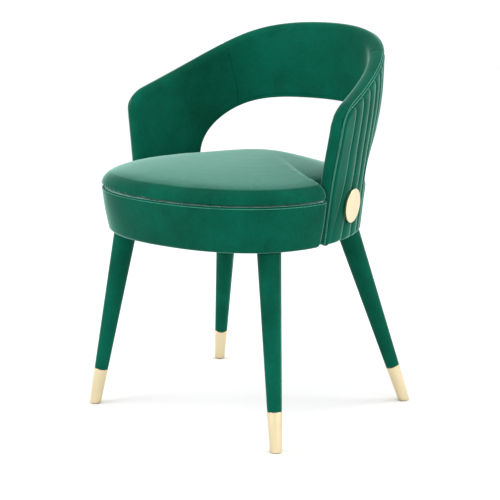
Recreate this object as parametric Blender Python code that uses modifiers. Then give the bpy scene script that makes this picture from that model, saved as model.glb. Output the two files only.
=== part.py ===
"""A velvet dining chair: a round-fronted seat on four splayed, brass-tipped legs, held inside a
barrel-shaped back whose arms slope up to a curved top rail over a wide opening.

Run with blender --background --python part.py, or from Blender's text editor.
Metres, +Z up. The chair faces -Y, +X is on the right of someone who faces its
front, and it stands on z = 0 with the origin under the middle of its bounding box.
"""

import math

import bmesh
import bpy
from mathutils import Matrix, Vector

# Driving heights
SEAT_BOTTOM = 0.377
SEAM_HEIGHT = 0.468
CROWN_TOP = 0.528
FRAME_BOTTOM = 0.380
FRAME_TOP = 0.447
DECK_THICKNESS = 0.012
BASE_FOAM_THICKNESS = 0.0066

# Clearance between pieces that touch
GAP = 0.0004

# Legs: where the tip of each axis stands, and how far it moves per metre of height
FRONT_TIP = (0.2417, -0.2053)
FRONT_LEAN = (-0.1457, 0.1249)
BACK_TIP = (0.2561, 0.2205)
BACK_LEAN = (-0.2554, -0.2248)
FERRULE_HEIGHT = 0.0761
FERRULE_TIP_RADIUS = 0.0113
FERRULE_TOP_RADIUS = 0.0146
LEG_LOW_RADIUS = 0.0142
LEG_TOP_RADIUS = 0.0234
SLEEVE_WALL = 0.0016
FERRULE_WALL = 0.0013
FERRULE_LIFT = 0.0012
GLIDE_RADIUS = 0.0084
LEG_CUT_HEIGHT = 0.3764
TURNED_STEPS = 18
BOLT_RADIUS = 0.0030
BOLT_HOLE_RADIUS = 0.0034
LEG_BOLT_LOW = 0.335
LEG_BOLT_HIGH = 0.425

# Seat plan: a superellipse front as wide as the arms, rounded corners in front of the arms,
# and a neck that runs back between them
SEAT_MID_Y = -0.054
SEAT_SQUARENESS = 2.3
SEAT_CORNER_RADIUS = 0.014
NECK_INSET = 0.0352
DECK_INSET = 0.0065

# The cushion's outline shrinks level by level: its size, its share of the rise and the y it shrinks about. The
# low levels keep clear of the arm's roll, and the high ones move back, where the dome is fullest
CROWN_LEVELS = (
    (1.0, 0.0, -0.035),
    (0.998, 0.17, -0.035),
    (0.975, 0.36, -0.035),
    (0.92, 0.52, -0.035),
    (0.80, 0.69, -0.030),
    (0.55, 0.87, 0.015),
    (0.22, 1.0, 0.060),
)
# Half width, depth of the front and where the corner starts: at the seam, the deck and the foot
AT_SEAM = (0.2620, 0.2220, -0.0810)
AT_DECK = (0.2581, 0.2187, -0.0840)
AT_FOOT = (0.2505, 0.2076, -0.0855)

# Shell plan: one Bezier from the arm's front to the centre of the back, at the foot and at the crest
SHELL_FOOT = ((0.2500, -0.052), (0.2370, 0.183), (0.1100, 0.2095), (0.0, 0.2095))
SHELL_CREST = ((0.2925, -0.034), (0.2367, 0.1696), (0.2340, 0.2800), (0.0, 0.2800))
SHELL_BOTTOM = 0.377
SHELL_TOP = 0.790
LEAN_SWELL = 0.17
LEAN_PEAK_POWER = 1.416
SHELL_THICKNESS = 0.033
RAIL_HEIGHTS = (0.626, 0.702, 0.7695, 0.7695)
ARM_CORNER_DROP = 0.020
ARM_CORNER_SPAN = 0.045

# The layers of the shell, as depths under its outer face
OUTER_LAYER = 0.0060
FRAME_LAYER = 0.0165
INNER_LAYER = 0.0270
PAD_THICKNESS = 0.0098
FRAME_THICKNESS = 0.0084
FRAME_EDGE = 0.010
FRAME_FOOT = 0.3815
PANEL_FOOT = 0.3785
INNER_PAD_FOOT = 0.450
ROLL_FOOT = 0.3795
ROLL_GAP = 0.0016

# The opening in the back, in plan position and height
OPENING_HALF = 0.725
OPENING_MIDDLE = 0.490
OPENING_RISE = 0.135
OPENING_FALL = 0.035
OPENING_SQUARENESS = 2.25
PLAN_SPEED = 0.42
LINING_THICKNESS = 0.0030
LINING_CLEARANCE = 0.0016
LOWER_CLEARANCE = 0.0050
SIDE_PANEL_END = 0.075
CHANNEL_END = 0.560
ARM_PAD_END = 0.500
FRAME_ARM_END = 0.450

# Edge welt and medallions
WELT_RADIUS = 0.0018
WELT_ANGLE = math.radians(40)
MEDALLION_RADIUS = 0.034
MEDALLION_THICKNESS = 0.0052
MEDALLION_PLACE = (0.118, 0.4455)
SHELL_BOLT_DROP = 0.016

COLLECTION_NAME = "dining_chair"


def clear_scene():
    for obj in list(bpy.data.objects):
        bpy.data.objects.remove(obj, do_unlink=True)


def make_collection(name):
    collection = bpy.data.collections.new(name)
    bpy.context.scene.collection.children.link(collection)
    return collection


def make_material(name, colour, roughness, metallic=0.0, sheen=0.0):
    material = bpy.data.materials.new(name)
    material.use_nodes = True
    shader = material.node_tree.nodes["Principled BSDF"]
    shader.inputs["Base Color"].default_value = (*colour, 1.0)
    shader.inputs["Roughness"].default_value = roughness
    shader.inputs["Metallic"].default_value = metallic
    shader.inputs["Sheen Weight"].default_value = sheen
    return material


clear_scene()
PARTS = make_collection(COLLECTION_NAME)
CUTTERS = make_collection("cutters")
VELVET = make_material("green_velvet", (0.005, 0.115, 0.062), 0.85, sheen=0.6)
BRASS = make_material("polished_brass", (0.87, 0.72, 0.42), 0.18, metallic=1.0)
PLYWOOD = make_material("birch_plywood", (0.56, 0.38, 0.21), 0.60)
FOAM = make_material("seat_foam", (0.82, 0.78, 0.62), 0.95)
STEEL = make_material("zinc_steel", (0.55, 0.56, 0.58), 0.35, metallic=1.0)
NYLON = make_material("black_nylon", (0.02, 0.02, 0.02), 0.55)
UNDERCLOTH = make_material("black_undercloth", (0.015, 0.015, 0.015), 0.95)


# Making objects


def add_object(name, mesh, material, smooth_angle=40):
    obj = bpy.data.objects.new(name, mesh)
    PARTS.objects.link(obj)
    mesh.materials.append(material)
    mesh.shade_smooth()
    mesh.set_sharp_from_angle(angle=math.radians(smooth_angle))
    return obj


def mesh_from_bmesh(name, bm):
    bmesh.ops.recalc_face_normals(bm, faces=bm.faces)
    mesh = bpy.data.meshes.new(name)
    bm.to_mesh(mesh)
    bm.free()
    return mesh


def plate(name, outline, low, high, material):
    """A flat outline, as plan points, extruded from one height to another."""
    bm = bmesh.new()
    face = bm.faces.new([bm.verts.new((x, y, low)) for x, y in outline])
    raised = bmesh.ops.extrude_face_region(bm, geom=[face])["geom"]
    top = [item for item in raised if isinstance(item, bmesh.types.BMVert)]
    bmesh.ops.translate(bm, verts=top, vec=(0.0, 0.0, high - low))
    return add_object(name, mesh_from_bmesh(name, bm), material)


def loft(name, loops, material, wrap=False, ring=True):
    """Skins unlike sections. wrap joins the last section to the first; ring closes each section."""
    bm = bmesh.new()
    rows = [[bm.verts.new(point) for point in loop] for loop in loops]
    count = len(rows[0])
    pairs = list(zip(rows, rows[1:])) + ([(rows[-1], rows[0])] if wrap else [])
    for first, second in pairs:
        for i in range(count if ring else count - 1):
            j = (i + 1) % count
            bm.faces.new((first[i], first[j], second[j], second[i]))
    if not wrap:
        bm.faces.new(rows[0])
        bm.faces.new(reversed(rows[-1]))
    return add_object(name, mesh_from_bmesh(name, bm), material)


def turned(name, profile, material, closed=False):
    """A profile of (radius, height) at +X, outer side running top to bottom, turned about Z."""
    mesh = bpy.data.meshes.new(name)
    edges = [(i, i + 1) for i in range(len(profile) - 1)]
    if closed:
        edges.append((len(profile) - 1, 0))
    mesh.from_pydata([(radius, 0.0, height) for radius, height in profile], edges, [])
    obj = add_object(name, mesh, material)
    screw = obj.modifiers.new("turn", "SCREW")
    screw.axis = "Z"
    screw.steps = TURNED_STEPS
    screw.render_steps = TURNED_STEPS
    screw.use_merge_vertices = True
    screw.merge_threshold = 0.00001
    screw.use_smooth_shade = True
    return obj


def as_cutter(obj):
    PARTS.objects.unlink(obj)
    CUTTERS.objects.link(obj)
    obj.hide_render = True
    obj.display_type = "WIRE"
    return obj


def cut(obj, cutter, name="cut"):
    modifier = obj.modifiers.new(name, "BOOLEAN")
    modifier.operation = "DIFFERENCE"
    modifier.solver = "EXACT"
    modifier.object = cutter


def box_cutter(name, low, high):
    half = 0.5
    outline = [(-half, -half), (half, -half), (half, half), (-half, half)]
    return as_cutter(plate(name, outline, low, high, STEEL))


def bar(name, radius, start, end, material):
    """A round bar between two points, its ends square to its length."""
    bm = bmesh.new()
    start, end = Vector(start), Vector(end)
    bmesh.ops.create_cone(
        bm, cap_ends=True, segments=12, radius1=radius, radius2=radius, depth=(end - start).length
    )
    obj = add_object(name, mesh_from_bmesh(name, bm), material)
    obj.location = (start + end) / 2
    obj.rotation_mode = "QUATERNION"
    obj.rotation_quaternion = (end - start).to_track_quat("Z", "Y")
    return obj


# The seat's plan


def spread(first, last, count):
    return [first + (last - first) * i / count for i in range(count + 1)]


def superellipse_front(level, steps):
    """From the front centre round to the side, on the +X half."""
    half_width, depth, corner_y = level
    power = 2.0 / SEAT_SQUARENESS
    limit = math.asin(((SEAT_MID_Y - corner_y) / depth) ** (1.0 / power))
    points = []
    for i in range(steps + 1):
        angle = math.pi / 2 + (limit - math.pi / 2) * i / steps
        x = half_width * max(math.cos(angle), 0.0) ** power
        points.append(Vector((x, SEAT_MID_Y - depth * math.sin(angle) ** power)))
    return points


def seat_front_half(level, steps=14):
    """The front and its rounded corner, ending on the face that meets the arm's front."""
    front = superellipse_front(level, steps)
    edge = front[-1]
    centre = Vector((edge.x - SEAT_CORNER_RADIUS, edge.y))
    corner = []
    for i in range(1, 6):
        angle = math.radians(90 * i / 5)
        corner.append(centre + SEAT_CORNER_RADIUS * Vector((math.cos(angle), math.sin(angle))))
    return front + corner


def neck_half(inset, height, first=0.055, steps=13):
    """Behind the corner, following the shell's plan at that height round to the back centre."""
    return [shell_plan(u, height, inset) for u in spread(first, 1.0, steps)]


def mirrored_loop(half):
    """Both halves of an outline that starts and ends on the centre line."""
    mirror = [Vector((-point.x, point.y)) for point in reversed(half[1:-1])]
    return half + mirror


def seat_loop(level, neck_inset, neck_height):
    front, neck = seat_front_half(level), neck_half(neck_inset, neck_height)
    return mirrored_loop(front + [Vector((neck[0].x, front[-1].y))] + neck)


def moved_in(loop, inset):
    """A closed outline moved in by inset, corner by corner."""
    moved = []
    for i, point in enumerate(loop):
        before = (point - loop[i - 1]).normalized()
        after = (loop[(i + 1) % len(loop)] - point).normalized()
        normal = Vector((-before.y - after.y, before.x + after.x)).normalized()
        moved.append(point + normal * inset / max(normal.dot(Vector((-before.y, before.x))), 0.5))
    return moved


def scaled(loop, factor, centre_y):
    centre = Vector((0.0, centre_y))
    return [centre + (point - centre) * factor for point in loop]


def at_height(loop, height):
    return [(point.x, point.y, height) for point in loop]


# The shell's surface


def bezier(points, t):
    a, b, c, d = points
    s = 1.0 - t
    weights = (s * s * s, 3 * s * s * t, 3 * s * t * t, t * t * t)
    if isinstance(a, (int, float)):
        return sum(w * p for w, p in zip(weights, (a, b, c, d)))
    return sum((w * Vector(p) for w, p in zip(weights, (a, b, c, d))), Vector((0.0, 0.0)))


def lean(height):
    """How far the plan has moved from the foot's to the crest's."""
    share = (height - SHELL_BOTTOM) / (SHELL_TOP - SHELL_BOTTOM)
    inside = min(max(share, 0.0), 1.0)
    return share + LEAN_SWELL * math.sin(math.pi * inside**LEAN_PEAK_POWER) ** 3


def outer_plan(u, height):
    blend = lean(height)
    return bezier(SHELL_FOOT, u) * (1.0 - blend) + bezier(SHELL_CREST, u) * blend


def shell_plan(u, height, inset):
    """Plan point at u, 0 at the arm's front and 1 at the back centre, inset under the outer face."""
    step = 0.002
    before = outer_plan(max(u - step, 0.0), height)
    after = outer_plan(min(u + step, 1.0), height)
    along = (after - before).normalized()
    if u > 1.0 - step:
        along = Vector((-1.0, 0.0))
    return outer_plan(u, height) - inset * Vector((along.y, -along.x))


def shell_point(w, height, inset):
    """Shell point at w, which runs from 0 to 1 on the +X side and on from 1 to 2 on the other."""
    u = w if w <= 1.0 else 2.0 - w
    plan = shell_plan(u, height, inset)
    return Vector((plan.x if w <= 1.0 else -plan.x, plan.y, height))


def edge_height(w):
    """Height of the middle of the shell's rolled edge, with the rounded front corner of the arm."""
    u = w if w <= 1.0 else 2.0 - w
    height = bezier(RAIL_HEIGHTS, u)
    if u < ARM_CORNER_SPAN:
        across = 1.0 - u / ARM_CORNER_SPAN
        height -= ARM_CORNER_DROP * (1.0 - math.sqrt(1.0 - across * across))
    return height


def opening_edge(angle, grow=0.0):
    """(u, height) on the opening's edge: angle 0 at the arm, 90 at the top centre, -90 below."""
    power = 2.0 / OPENING_SQUARENESS
    rise = (OPENING_RISE if angle >= 0 else OPENING_FALL) + grow
    u = 1.0 - (OPENING_HALF + grow / PLAN_SPEED) * max(math.cos(angle), 0.0) ** power
    return u, OPENING_MIDDLE + math.copysign(rise * abs(math.sin(angle)) ** power, angle)


def opening_angle(u, grow):
    """The angle at which the opening's edge reaches u."""
    share = (1.0 - u) / (OPENING_HALF + grow / PLAN_SPEED)
    return math.acos(share ** (OPENING_SQUARENESS / 2.0))


# Sheets of the shell: each is a grid of points with thickness given by Solidify


def thick_sheet(name, columns, thickness, material):
    """Columns of points, low to high. A column may be shorter than its neighbour: it then
    meets that neighbour's upper points."""
    bm = bmesh.new()
    rows = [[bm.verts.new(point) for point in column] for column in columns]
    for first, second in zip(rows, rows[1:]):
        shared = min(len(first), len(second))
        first, second = first[-shared:], second[-shared:]
        for i in range(shared - 1):
            bm.faces.new((first[i], second[i], second[i + 1], first[i + 1]))
    bmesh.ops.recalc_face_normals(bm, faces=bm.faces)
    mesh = bpy.data.meshes.new(name)
    bm.to_mesh(mesh)
    bm.free()
    obj = add_object(name, mesh, material)
    solid = obj.modifiers.new("thickness", "SOLIDIFY")
    solid.thickness = thickness
    solid.offset = 0.0
    solid.use_even_offset = True
    return obj


def full_column(w, inset, bottom, edge, rows=(2, 3)):
    top = edge_height(w) - edge
    heights = spread(bottom, OPENING_MIDDLE, rows[0])[:-1] + spread(OPENING_MIDDLE, top, rows[1])
    return [shell_point(w, height, inset) for height in heights]


def upper_column(angle, mirrored, inset, grow, edge, rows=3):
    u, low = opening_edge(angle, grow)
    w = 2.0 - u if mirrored else u
    return [shell_point(w, height, inset) for height in spread(low, edge_height(w) - edge, rows)]


def lower_column(angle, mirrored, inset, grow, bottom, rows=2):
    u, high = opening_edge(angle, grow)
    w = 2.0 - u if mirrored else u
    return [shell_point(w, height, inset) for height in spread(bottom, high, rows)]


def arm_sheet(name, side, inset, thickness, material, start, end, bottom, grow, edge):
    """One arm, from plan position start to the opening, and on over the opening to end."""
    stop = opening_edge(0.0, grow)[0]
    steps = 6 if start < SIDE_PANEL_END else 4
    columns = [full_column(u, inset, bottom, edge) for u in spread(start, stop, steps)]
    for angle in spread(0.0, opening_angle(end, grow), 7)[1:]:
        columns.append(upper_column(angle, False, inset, grow, edge))
    for column in columns:
        for point in column:
            point.x *= side
    return thick_sheet(name, columns, thickness, material)


def top_sheet(name, start, inset, thickness, material, grow, edge):
    """The stretch of the top rail between plan positions start on both sides."""
    first = opening_angle(start, grow)
    angles = spread(first, math.pi / 2, 7)
    columns = [upper_column(angle, False, inset, grow, edge) for angle in angles]
    columns += [upper_column(angle, True, inset, grow, edge) for angle in reversed(angles[:-1])]
    return thick_sheet(name, columns, thickness, material)


def lower_sheet(name, inset, thickness, material, grow, bottom):
    """The band under the opening, behind the seat."""
    first = -math.radians(15)
    angles = spread(first, -math.pi / 2, 8)
    columns = [lower_column(angle, False, inset, grow, bottom) for angle in angles]
    columns += [lower_column(angle, True, inset, grow, bottom) for angle in reversed(angles[:-1])]
    return thick_sheet(name, columns, thickness, material)


# The shell's edges


def edge_path():
    """(w, height) along the rolled edge, from one arm's foot over the back to the other's."""
    half = [(0.0, height) for height in spread(ROLL_FOOT, edge_height(0.0) - 0.004, 5)]
    half += [(u, edge_height(u)) for u in spread(0.002, ARM_CORNER_SPAN, 5)]
    half += [(u, edge_height(u)) for u in spread(0.10, 1.0, 14)]
    return half + [(2.0 - w, height) for w, height in reversed(half[:-1])]


def edge_frames():
    """Centre, outward normal and edge-ward direction at each point of the rolled edge."""
    path = edge_path()
    centres = [shell_point(w, height, FRAME_LAYER) for w, height in path]
    frames = []
    for i, (w, height) in enumerate(path):
        before = centres[max(i - 1, 0)]
        after = centres[min(i + 1, len(centres) - 1)]
        along = (after - before).normalized()
        normal = shell_point(w, height, 0.0) - centres[i]
        normal = (normal - along * normal.dot(along)).normalized()
        frames.append((centres[i], normal, normal.cross(along).normalized()))
    return frames


def edge_roll():
    """The padded half-round that caps the shell's edge."""
    radius = SHELL_THICKNESS / 2 - ROLL_GAP
    loops = []
    for centre, normal, outward in edge_frames():
        loop = []
        for i in range(9):
            angle = math.radians(-90 + 180 * i / 8)
            side = math.sin(angle) * normal + math.cos(angle) * outward
            loop.append(centre + ROLL_GAP * outward + radius * side)
        loops.append(loop)
    return loft("edge_roll", loops, VELVET)


def edge_welt():
    """The piping that lies on the roll, between its outer face and its crest."""
    distance = SHELL_THICKNESS / 2 + WELT_RADIUS + GAP
    curve = bpy.data.curves.new("edge_welt", "CURVE")
    curve.dimensions = "3D"
    curve.bevel_depth = WELT_RADIUS
    curve.bevel_resolution = 1
    curve.use_fill_caps = True
    spline = curve.splines.new("POLY")
    points = []
    for centre, normal, outward in edge_frames():
        side = math.cos(WELT_ANGLE) * normal + math.sin(WELT_ANGLE) * outward
        points.append(centre + distance * side)
    spline.points.add(len(points) - 1)
    for spot, point in zip(spline.points, points):
        spot.co = (*point, 1.0)
    obj = bpy.data.objects.new("edge_welt", curve)
    PARTS.objects.link(obj)
    curve.materials.append(VELVET)
    return obj


def opening_lining():
    """The strip that lines the opening's reveal all the way round."""
    loops = []
    low, high = 0.0012, SHELL_THICKNESS - 0.0012
    half = spread(-math.pi / 2, math.pi / 2, 22)
    stations = [(angle, False) for angle in half] + [(angle, True) for angle in reversed(half[1:-1])]
    for angle, mirrored in stations:
        loop = []
        for grow, inset in ((0.0, low), (0.0, high), (LINING_THICKNESS, high), (LINING_THICKNESS, low)):
            u, height = opening_edge(angle, grow)
            loop.append(shell_point(2.0 - u if mirrored else u, height, inset))
        loops.append(loop)
    return loft("opening_lining", loops, VELVET, wrap=True)


# Sub-assemblies


def leg_point(tip, slope, side, height):
    return Vector((side * (tip[0] + slope[0] * height), tip[1] + slope[1] * height, height))


def stand(obj, tip, slope, side):
    """Puts a turned piece on its leg's axis, with its own origin at the leg's tip."""
    obj.location = (side * tip[0], tip[1], 0.0)
    obj.rotation_mode = "QUATERNION"
    obj.rotation_quaternion = Vector((side * slope[0], slope[1], 1.0)).to_track_quat("Z", "Y")


def build_leg(tag, tip, slope, side, planes):
    """Wood core, velvet sleeve, brass ferrule, nylon glide, and the bolt and washer above."""
    stretch = math.sqrt(1.0 + slope[0] ** 2 + slope[1] ** 2)
    top = 0.40 * stretch
    top_radius = LEG_LOW_RADIUS + (LEG_TOP_RADIUS - LEG_LOW_RADIUS) * (0.40 - FERRULE_HEIGHT) / (
        SEAT_BOTTOM - FERRULE_HEIGHT
    )
    joint = FERRULE_HEIGHT * stretch
    core_low = LEG_LOW_RADIUS - SLEEVE_WALL - GAP
    core_top = top_radius - SLEEVE_WALL - GAP
    sleeve = turned(
        "leg_sleeve_" + tag,
        [
            (top_radius, top),
            (LEG_LOW_RADIUS, joint + GAP),
            (LEG_LOW_RADIUS - SLEEVE_WALL, joint + GAP),
            (top_radius - SLEEVE_WALL, top),
        ],
        VELVET,
        closed=True,
    )
    ferrule = turned(
        "ferrule_" + tag,
        [
            (FERRULE_TOP_RADIUS - 0.0004, joint),
            (FERRULE_TOP_RADIUS, joint - 0.0006),
            (FERRULE_TIP_RADIUS, -0.006),
            (FERRULE_TIP_RADIUS - FERRULE_WALL, -0.006),
            (FERRULE_TOP_RADIUS - FERRULE_WALL, joint),
        ],
        BRASS,
        closed=True,
    )
    core = turned(
        "leg_core_" + tag,
        [
            (0.0, top),
            (core_top, top),
            (core_low, joint + 2 * GAP),
            (core_low - 0.0006, joint - GAP),
            (GLIDE_RADIUS + 0.0002, 0.009),
            (0.0, 0.009),
        ],
        PLYWOOD,
    )
    glide = turned(
        "glide_" + tag,
        [(0.0, 0.0085), (GLIDE_RADIUS, 0.0085), (GLIDE_RADIUS, -0.006), (0.0, -0.006)],
        NYLON,
    )
    for piece in (sleeve, ferrule, core, glide):
        stand(piece, tip, slope, side)
    cut(sleeve, planes["leg_top"])
    cut(core, planes["leg_top"])
    cut(ferrule, planes["ferrule_foot"])
    cut(glide, planes["floor"])

    axis = (leg_point(tip, slope, side, LEG_BOLT_LOW), leg_point(tip, slope, side, LEG_BOLT_HIGH))
    bar("leg_bolt_" + tag, BOLT_RADIUS, *axis, STEEL)
    reach = (axis[1] - axis[0]).normalized() * 2 * GAP
    hole = as_cutter(bar("leg_bolt_hole_" + tag, BOLT_HOLE_RADIUS, axis[0] - reach, axis[1] + reach, STEEL))
    cut(core, hole, "bolt_hole")
    washer = turned(
        "leg_washer_" + tag,
        [(0.011, 0.0029), (0.011, 0.0), (0.0048, 0.0), (0.0048, 0.0029)],
        STEEL,
        closed=True,
    )
    washer.location = leg_point(tip, slope, side, SEAT_BOTTOM)
    washer.location.z = LEG_CUT_HEIGHT + GAP
    return hole


def front_block(tag, side):
    """Corner block inside the front rail, over the front leg's bolt."""
    centre = leg_point(FRONT_TIP, FRONT_LEAN, side, FRAME_BOTTOM)
    middle = Vector((0.0, SEAT_MID_Y, FRAME_BOTTOM))
    outward = (centre - middle).normalized()
    across = Vector((-outward.y, outward.x, 0.0))
    outline = []
    for along, sideways in ((0.0060, -0.019), (0.0060, 0.019), (-0.040, 0.026), (-0.040, -0.026)):
        corner = centre + outward * along + across * sideways
        outline.append((corner.x, corner.y))
    return plate("leg_block_" + tag, outline, FRAME_BOTTOM, FRAME_TOP, PLYWOOD)


def rear_block(tag, side):
    """Corner block between side and back rails, over the back leg's bolt."""
    outer = [shell_plan(u, SHELL_BOTTOM, 0.0222) for u in spread(0.285, 0.62, 8)]
    inner_corners = ((0.62, 0.050), (0.45, 0.064), (0.285, 0.050))
    inner = [shell_plan(u, SHELL_BOTTOM, inset) for u, inset in inner_corners]
    outline = [(side * point.x, point.y) for point in outer + inner]
    return plate("leg_block_" + tag, outline, FRAME_BOTTOM, FRAME_TOP, PLYWOOD)


def strip_between(outer, inner, side=1):
    points = list(outer) + list(reversed(inner))
    return [(side * point.x, point.y) for point in points]


def build_rails():
    """The seat's rails: a curved front rail, two side rails and a curved back rail."""
    angles = spread(0.30, math.pi - 0.30, 20)
    power = 2.0 / SEAT_SQUARENESS
    rings = []
    for inset in (0.0058, 0.0165):
        ring = []
        for angle in angles:
            x = math.copysign(abs(math.cos(angle)) ** power, math.cos(angle))
            half_width = AT_FOOT[0] - inset
            depth = AT_FOOT[1] - inset
            ring.append(Vector((half_width * x, SEAT_MID_Y - depth * math.sin(angle) ** power)))
        rings.append(ring)
    plate("front_rail", strip_between(*rings), FRAME_BOTTOM, FRAME_TOP, PLYWOOD)
    for tag, side in (("left", -1), ("right", 1)):
        places = spread(0.045, 0.28, 5)
        paths = [[shell_plan(u, SHELL_BOTTOM, inset) for u in places] for inset in (0.0222, 0.044)]
        plate("side_rail_" + tag, strip_between(*paths, side), FRAME_BOTTOM, FRAME_TOP, PLYWOOD)
    stations = spread(0.625, 1.0, 6)
    paths = []
    for inset in (0.0222, 0.044):
        half = [shell_plan(u, SHELL_BOTTOM, inset) for u in stations]
        paths.append(half + [Vector((-point.x, point.y)) for point in reversed(half[:-1])])
    plate("back_rail", strip_between(*paths), FRAME_BOTTOM, FRAME_TOP, PLYWOOD)


def front_path(level, inset):
    """The front outline from one arm to the other, moved in by inset."""
    half = seat_front_half(level)
    path = [Vector((-point.x, point.y)) for point in reversed(half[1:])] + half
    moved = []
    for i, point in enumerate(path):
        along = (path[min(i + 1, len(path) - 1)] - path[max(i - 1, 0)]).normalized()
        moved.append(point + inset * Vector((-along.y, along.x)))
    return moved


def seat_band():
    """The upholstered boxing round the front, with a short turned-in hem under the rails."""
    hem = FRAME_BOTTOM - GAP
    section = (
        (AT_FOOT, 0.0100, SEAT_BOTTOM),
        (AT_FOOT, 0.0030, SEAT_BOTTOM + 0.0005),
        (AT_FOOT, 0.0000, SEAT_BOTTOM + 0.0055),
        (AT_SEAM, 0.0000, SEAM_HEIGHT - GAP),
        (AT_SEAM, 0.0045, SEAM_HEIGHT - GAP),
        (AT_FOOT, 0.0045, SEAT_BOTTOM + 0.0060),
        (AT_FOOT, 0.0050, hem),
        (AT_FOOT, 0.0100, hem),
    )
    rows = [at_height(front_path(level, inset), height) for level, inset, height in section]
    loops = [[row[i] for row in rows] for i in range(len(rows[0]))]
    return loft("seat_band", loops, VELVET)


def build_seat():
    """Deck, base foam, crowned cushion, boxing and undercloth."""
    deck_top = FRAME_TOP + GAP + DECK_THICKNESS
    foam_top = deck_top + GAP + BASE_FOAM_THICKNESS
    deck_outline = seat_loop(AT_DECK, NECK_INSET - DECK_INSET, FRAME_TOP)
    deck = [tuple(point) for point in moved_in(deck_outline, DECK_INSET)]
    plate("seat_deck", deck, FRAME_TOP + GAP, deck_top, PLYWOOD)
    plate("seat_base_foam", deck, deck_top + GAP, foam_top, FOAM)
    loop = seat_loop(AT_SEAM, NECK_INSET, SEAM_HEIGHT)
    rise = CROWN_TOP - SEAM_HEIGHT
    loops = [
        at_height(scaled(loop, factor, centre_y), SEAM_HEIGHT + share * rise)
        for factor, share, centre_y in CROWN_LEVELS
    ]
    loft("seat_cushion", loops, VELVET)
    seat_band()
    front = front_path(AT_FOOT, 0.0110)
    end = front[-1] - Vector((0.0020, 0.0))
    behind_band = Vector((end.x, end.y + 0.0140))
    half = front[len(front) // 2 : -1] + [end, behind_band] + neck_half(0.0125, SHELL_BOTTOM)
    half[0].x = 0.0
    under = plate(
        "undercloth",
        [tuple(point) for point in mirrored_loop(half)],
        SEAT_BOTTOM + 0.0008,
        SEAT_BOTTOM + 0.0016,
        UNDERCLOTH,
    )
    return under


def clear_of_legs(under):
    for tip, slope, tag in ((FRONT_TIP, FRONT_LEAN, "front"), (BACK_TIP, BACK_LEAN, "back")):
        for side, hand in ((-1, "left"), (1, "right")):
            centre = leg_point(tip, slope, side, SEAT_BOTTOM)
            ends = (centre - Vector((0, 0, 0.01)), centre + Vector((0, 0, 0.01)))
            cut(under, as_cutter(bar(f"leg_clearance_{tag}_{hand}", 0.014, *ends, STEEL)), f"{tag}_{hand}")


def build_shell():
    """Wooden frame members, then the padded panels over them, then the edges."""
    frame_grow = LINING_THICKNESS + LINING_CLEARANCE
    lower_grow = LINING_THICKNESS + LOWER_CLEARANCE
    split = 0.0012 / PLAN_SPEED
    members = {}
    for hand, side in (("left", -1), ("right", 1)):
        members["frame_" + hand] = arm_sheet(
            "frame_arm_" + hand, side, FRAME_LAYER, FRAME_THICKNESS, PLYWOOD,
            0.02, FRAME_ARM_END, FRAME_FOOT, frame_grow, FRAME_EDGE,
        )
        arm_sheet(
            "inner_arm_pad_" + hand, side, INNER_LAYER, PAD_THICKNESS, VELVET,
            0.001, ARM_PAD_END, INNER_PAD_FOOT, frame_grow, 0.0,
        )
        columns = [full_column(u, OUTER_LAYER, PANEL_FOOT, 0.0) for u in spread(0.001, SIDE_PANEL_END, 3)]
        for column in columns:
            for point in column:
                point.x *= side
        thick_sheet("outer_side_panel_" + hand, columns, PAD_THICKNESS, VELVET)
        members["cover_" + hand] = arm_sheet(
            "outer_channel_panel_" + hand, side, OUTER_LAYER, PAD_THICKNESS, VELVET,
            SIDE_PANEL_END + split, CHANNEL_END, PANEL_FOOT, frame_grow, 0.0,
        )
    top_sheet(
        "frame_top_rail", FRAME_ARM_END + split, FRAME_LAYER, FRAME_THICKNESS, PLYWOOD, frame_grow, FRAME_EDGE
    )
    top_sheet("inner_back_pad", ARM_PAD_END + split, INNER_LAYER, PAD_THICKNESS, VELVET, frame_grow, 0.0)
    top_sheet("outer_back_panel", CHANNEL_END + split, OUTER_LAYER, PAD_THICKNESS, VELVET, frame_grow, 0.0)
    lower_sheet("frame_lower_rail", FRAME_LAYER, FRAME_THICKNESS, PLYWOOD, lower_grow, FRAME_FOOT)
    lower_sheet("outer_lower_panel", OUTER_LAYER, PAD_THICKNESS, VELVET, lower_grow, PANEL_FOOT)
    edge_roll()
    edge_welt()
    opening_lining()
    return members


def medallion_frame(side):
    """The medallion's centre on the outer face, and the way it faces."""
    u, height = MEDALLION_PLACE
    centre = shell_point(u, height, 0.0)
    step = 0.01
    along = shell_point(u + step, height, 0.0) - shell_point(u - step, height, 0.0)
    upward = shell_point(u, height + step, 0.0) - shell_point(u, height - step, 0.0)
    facing = along.cross(upward).normalized()
    if facing.x < 0:
        facing = -facing
    centre.x *= side
    facing.x *= side
    return centre, facing


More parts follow.
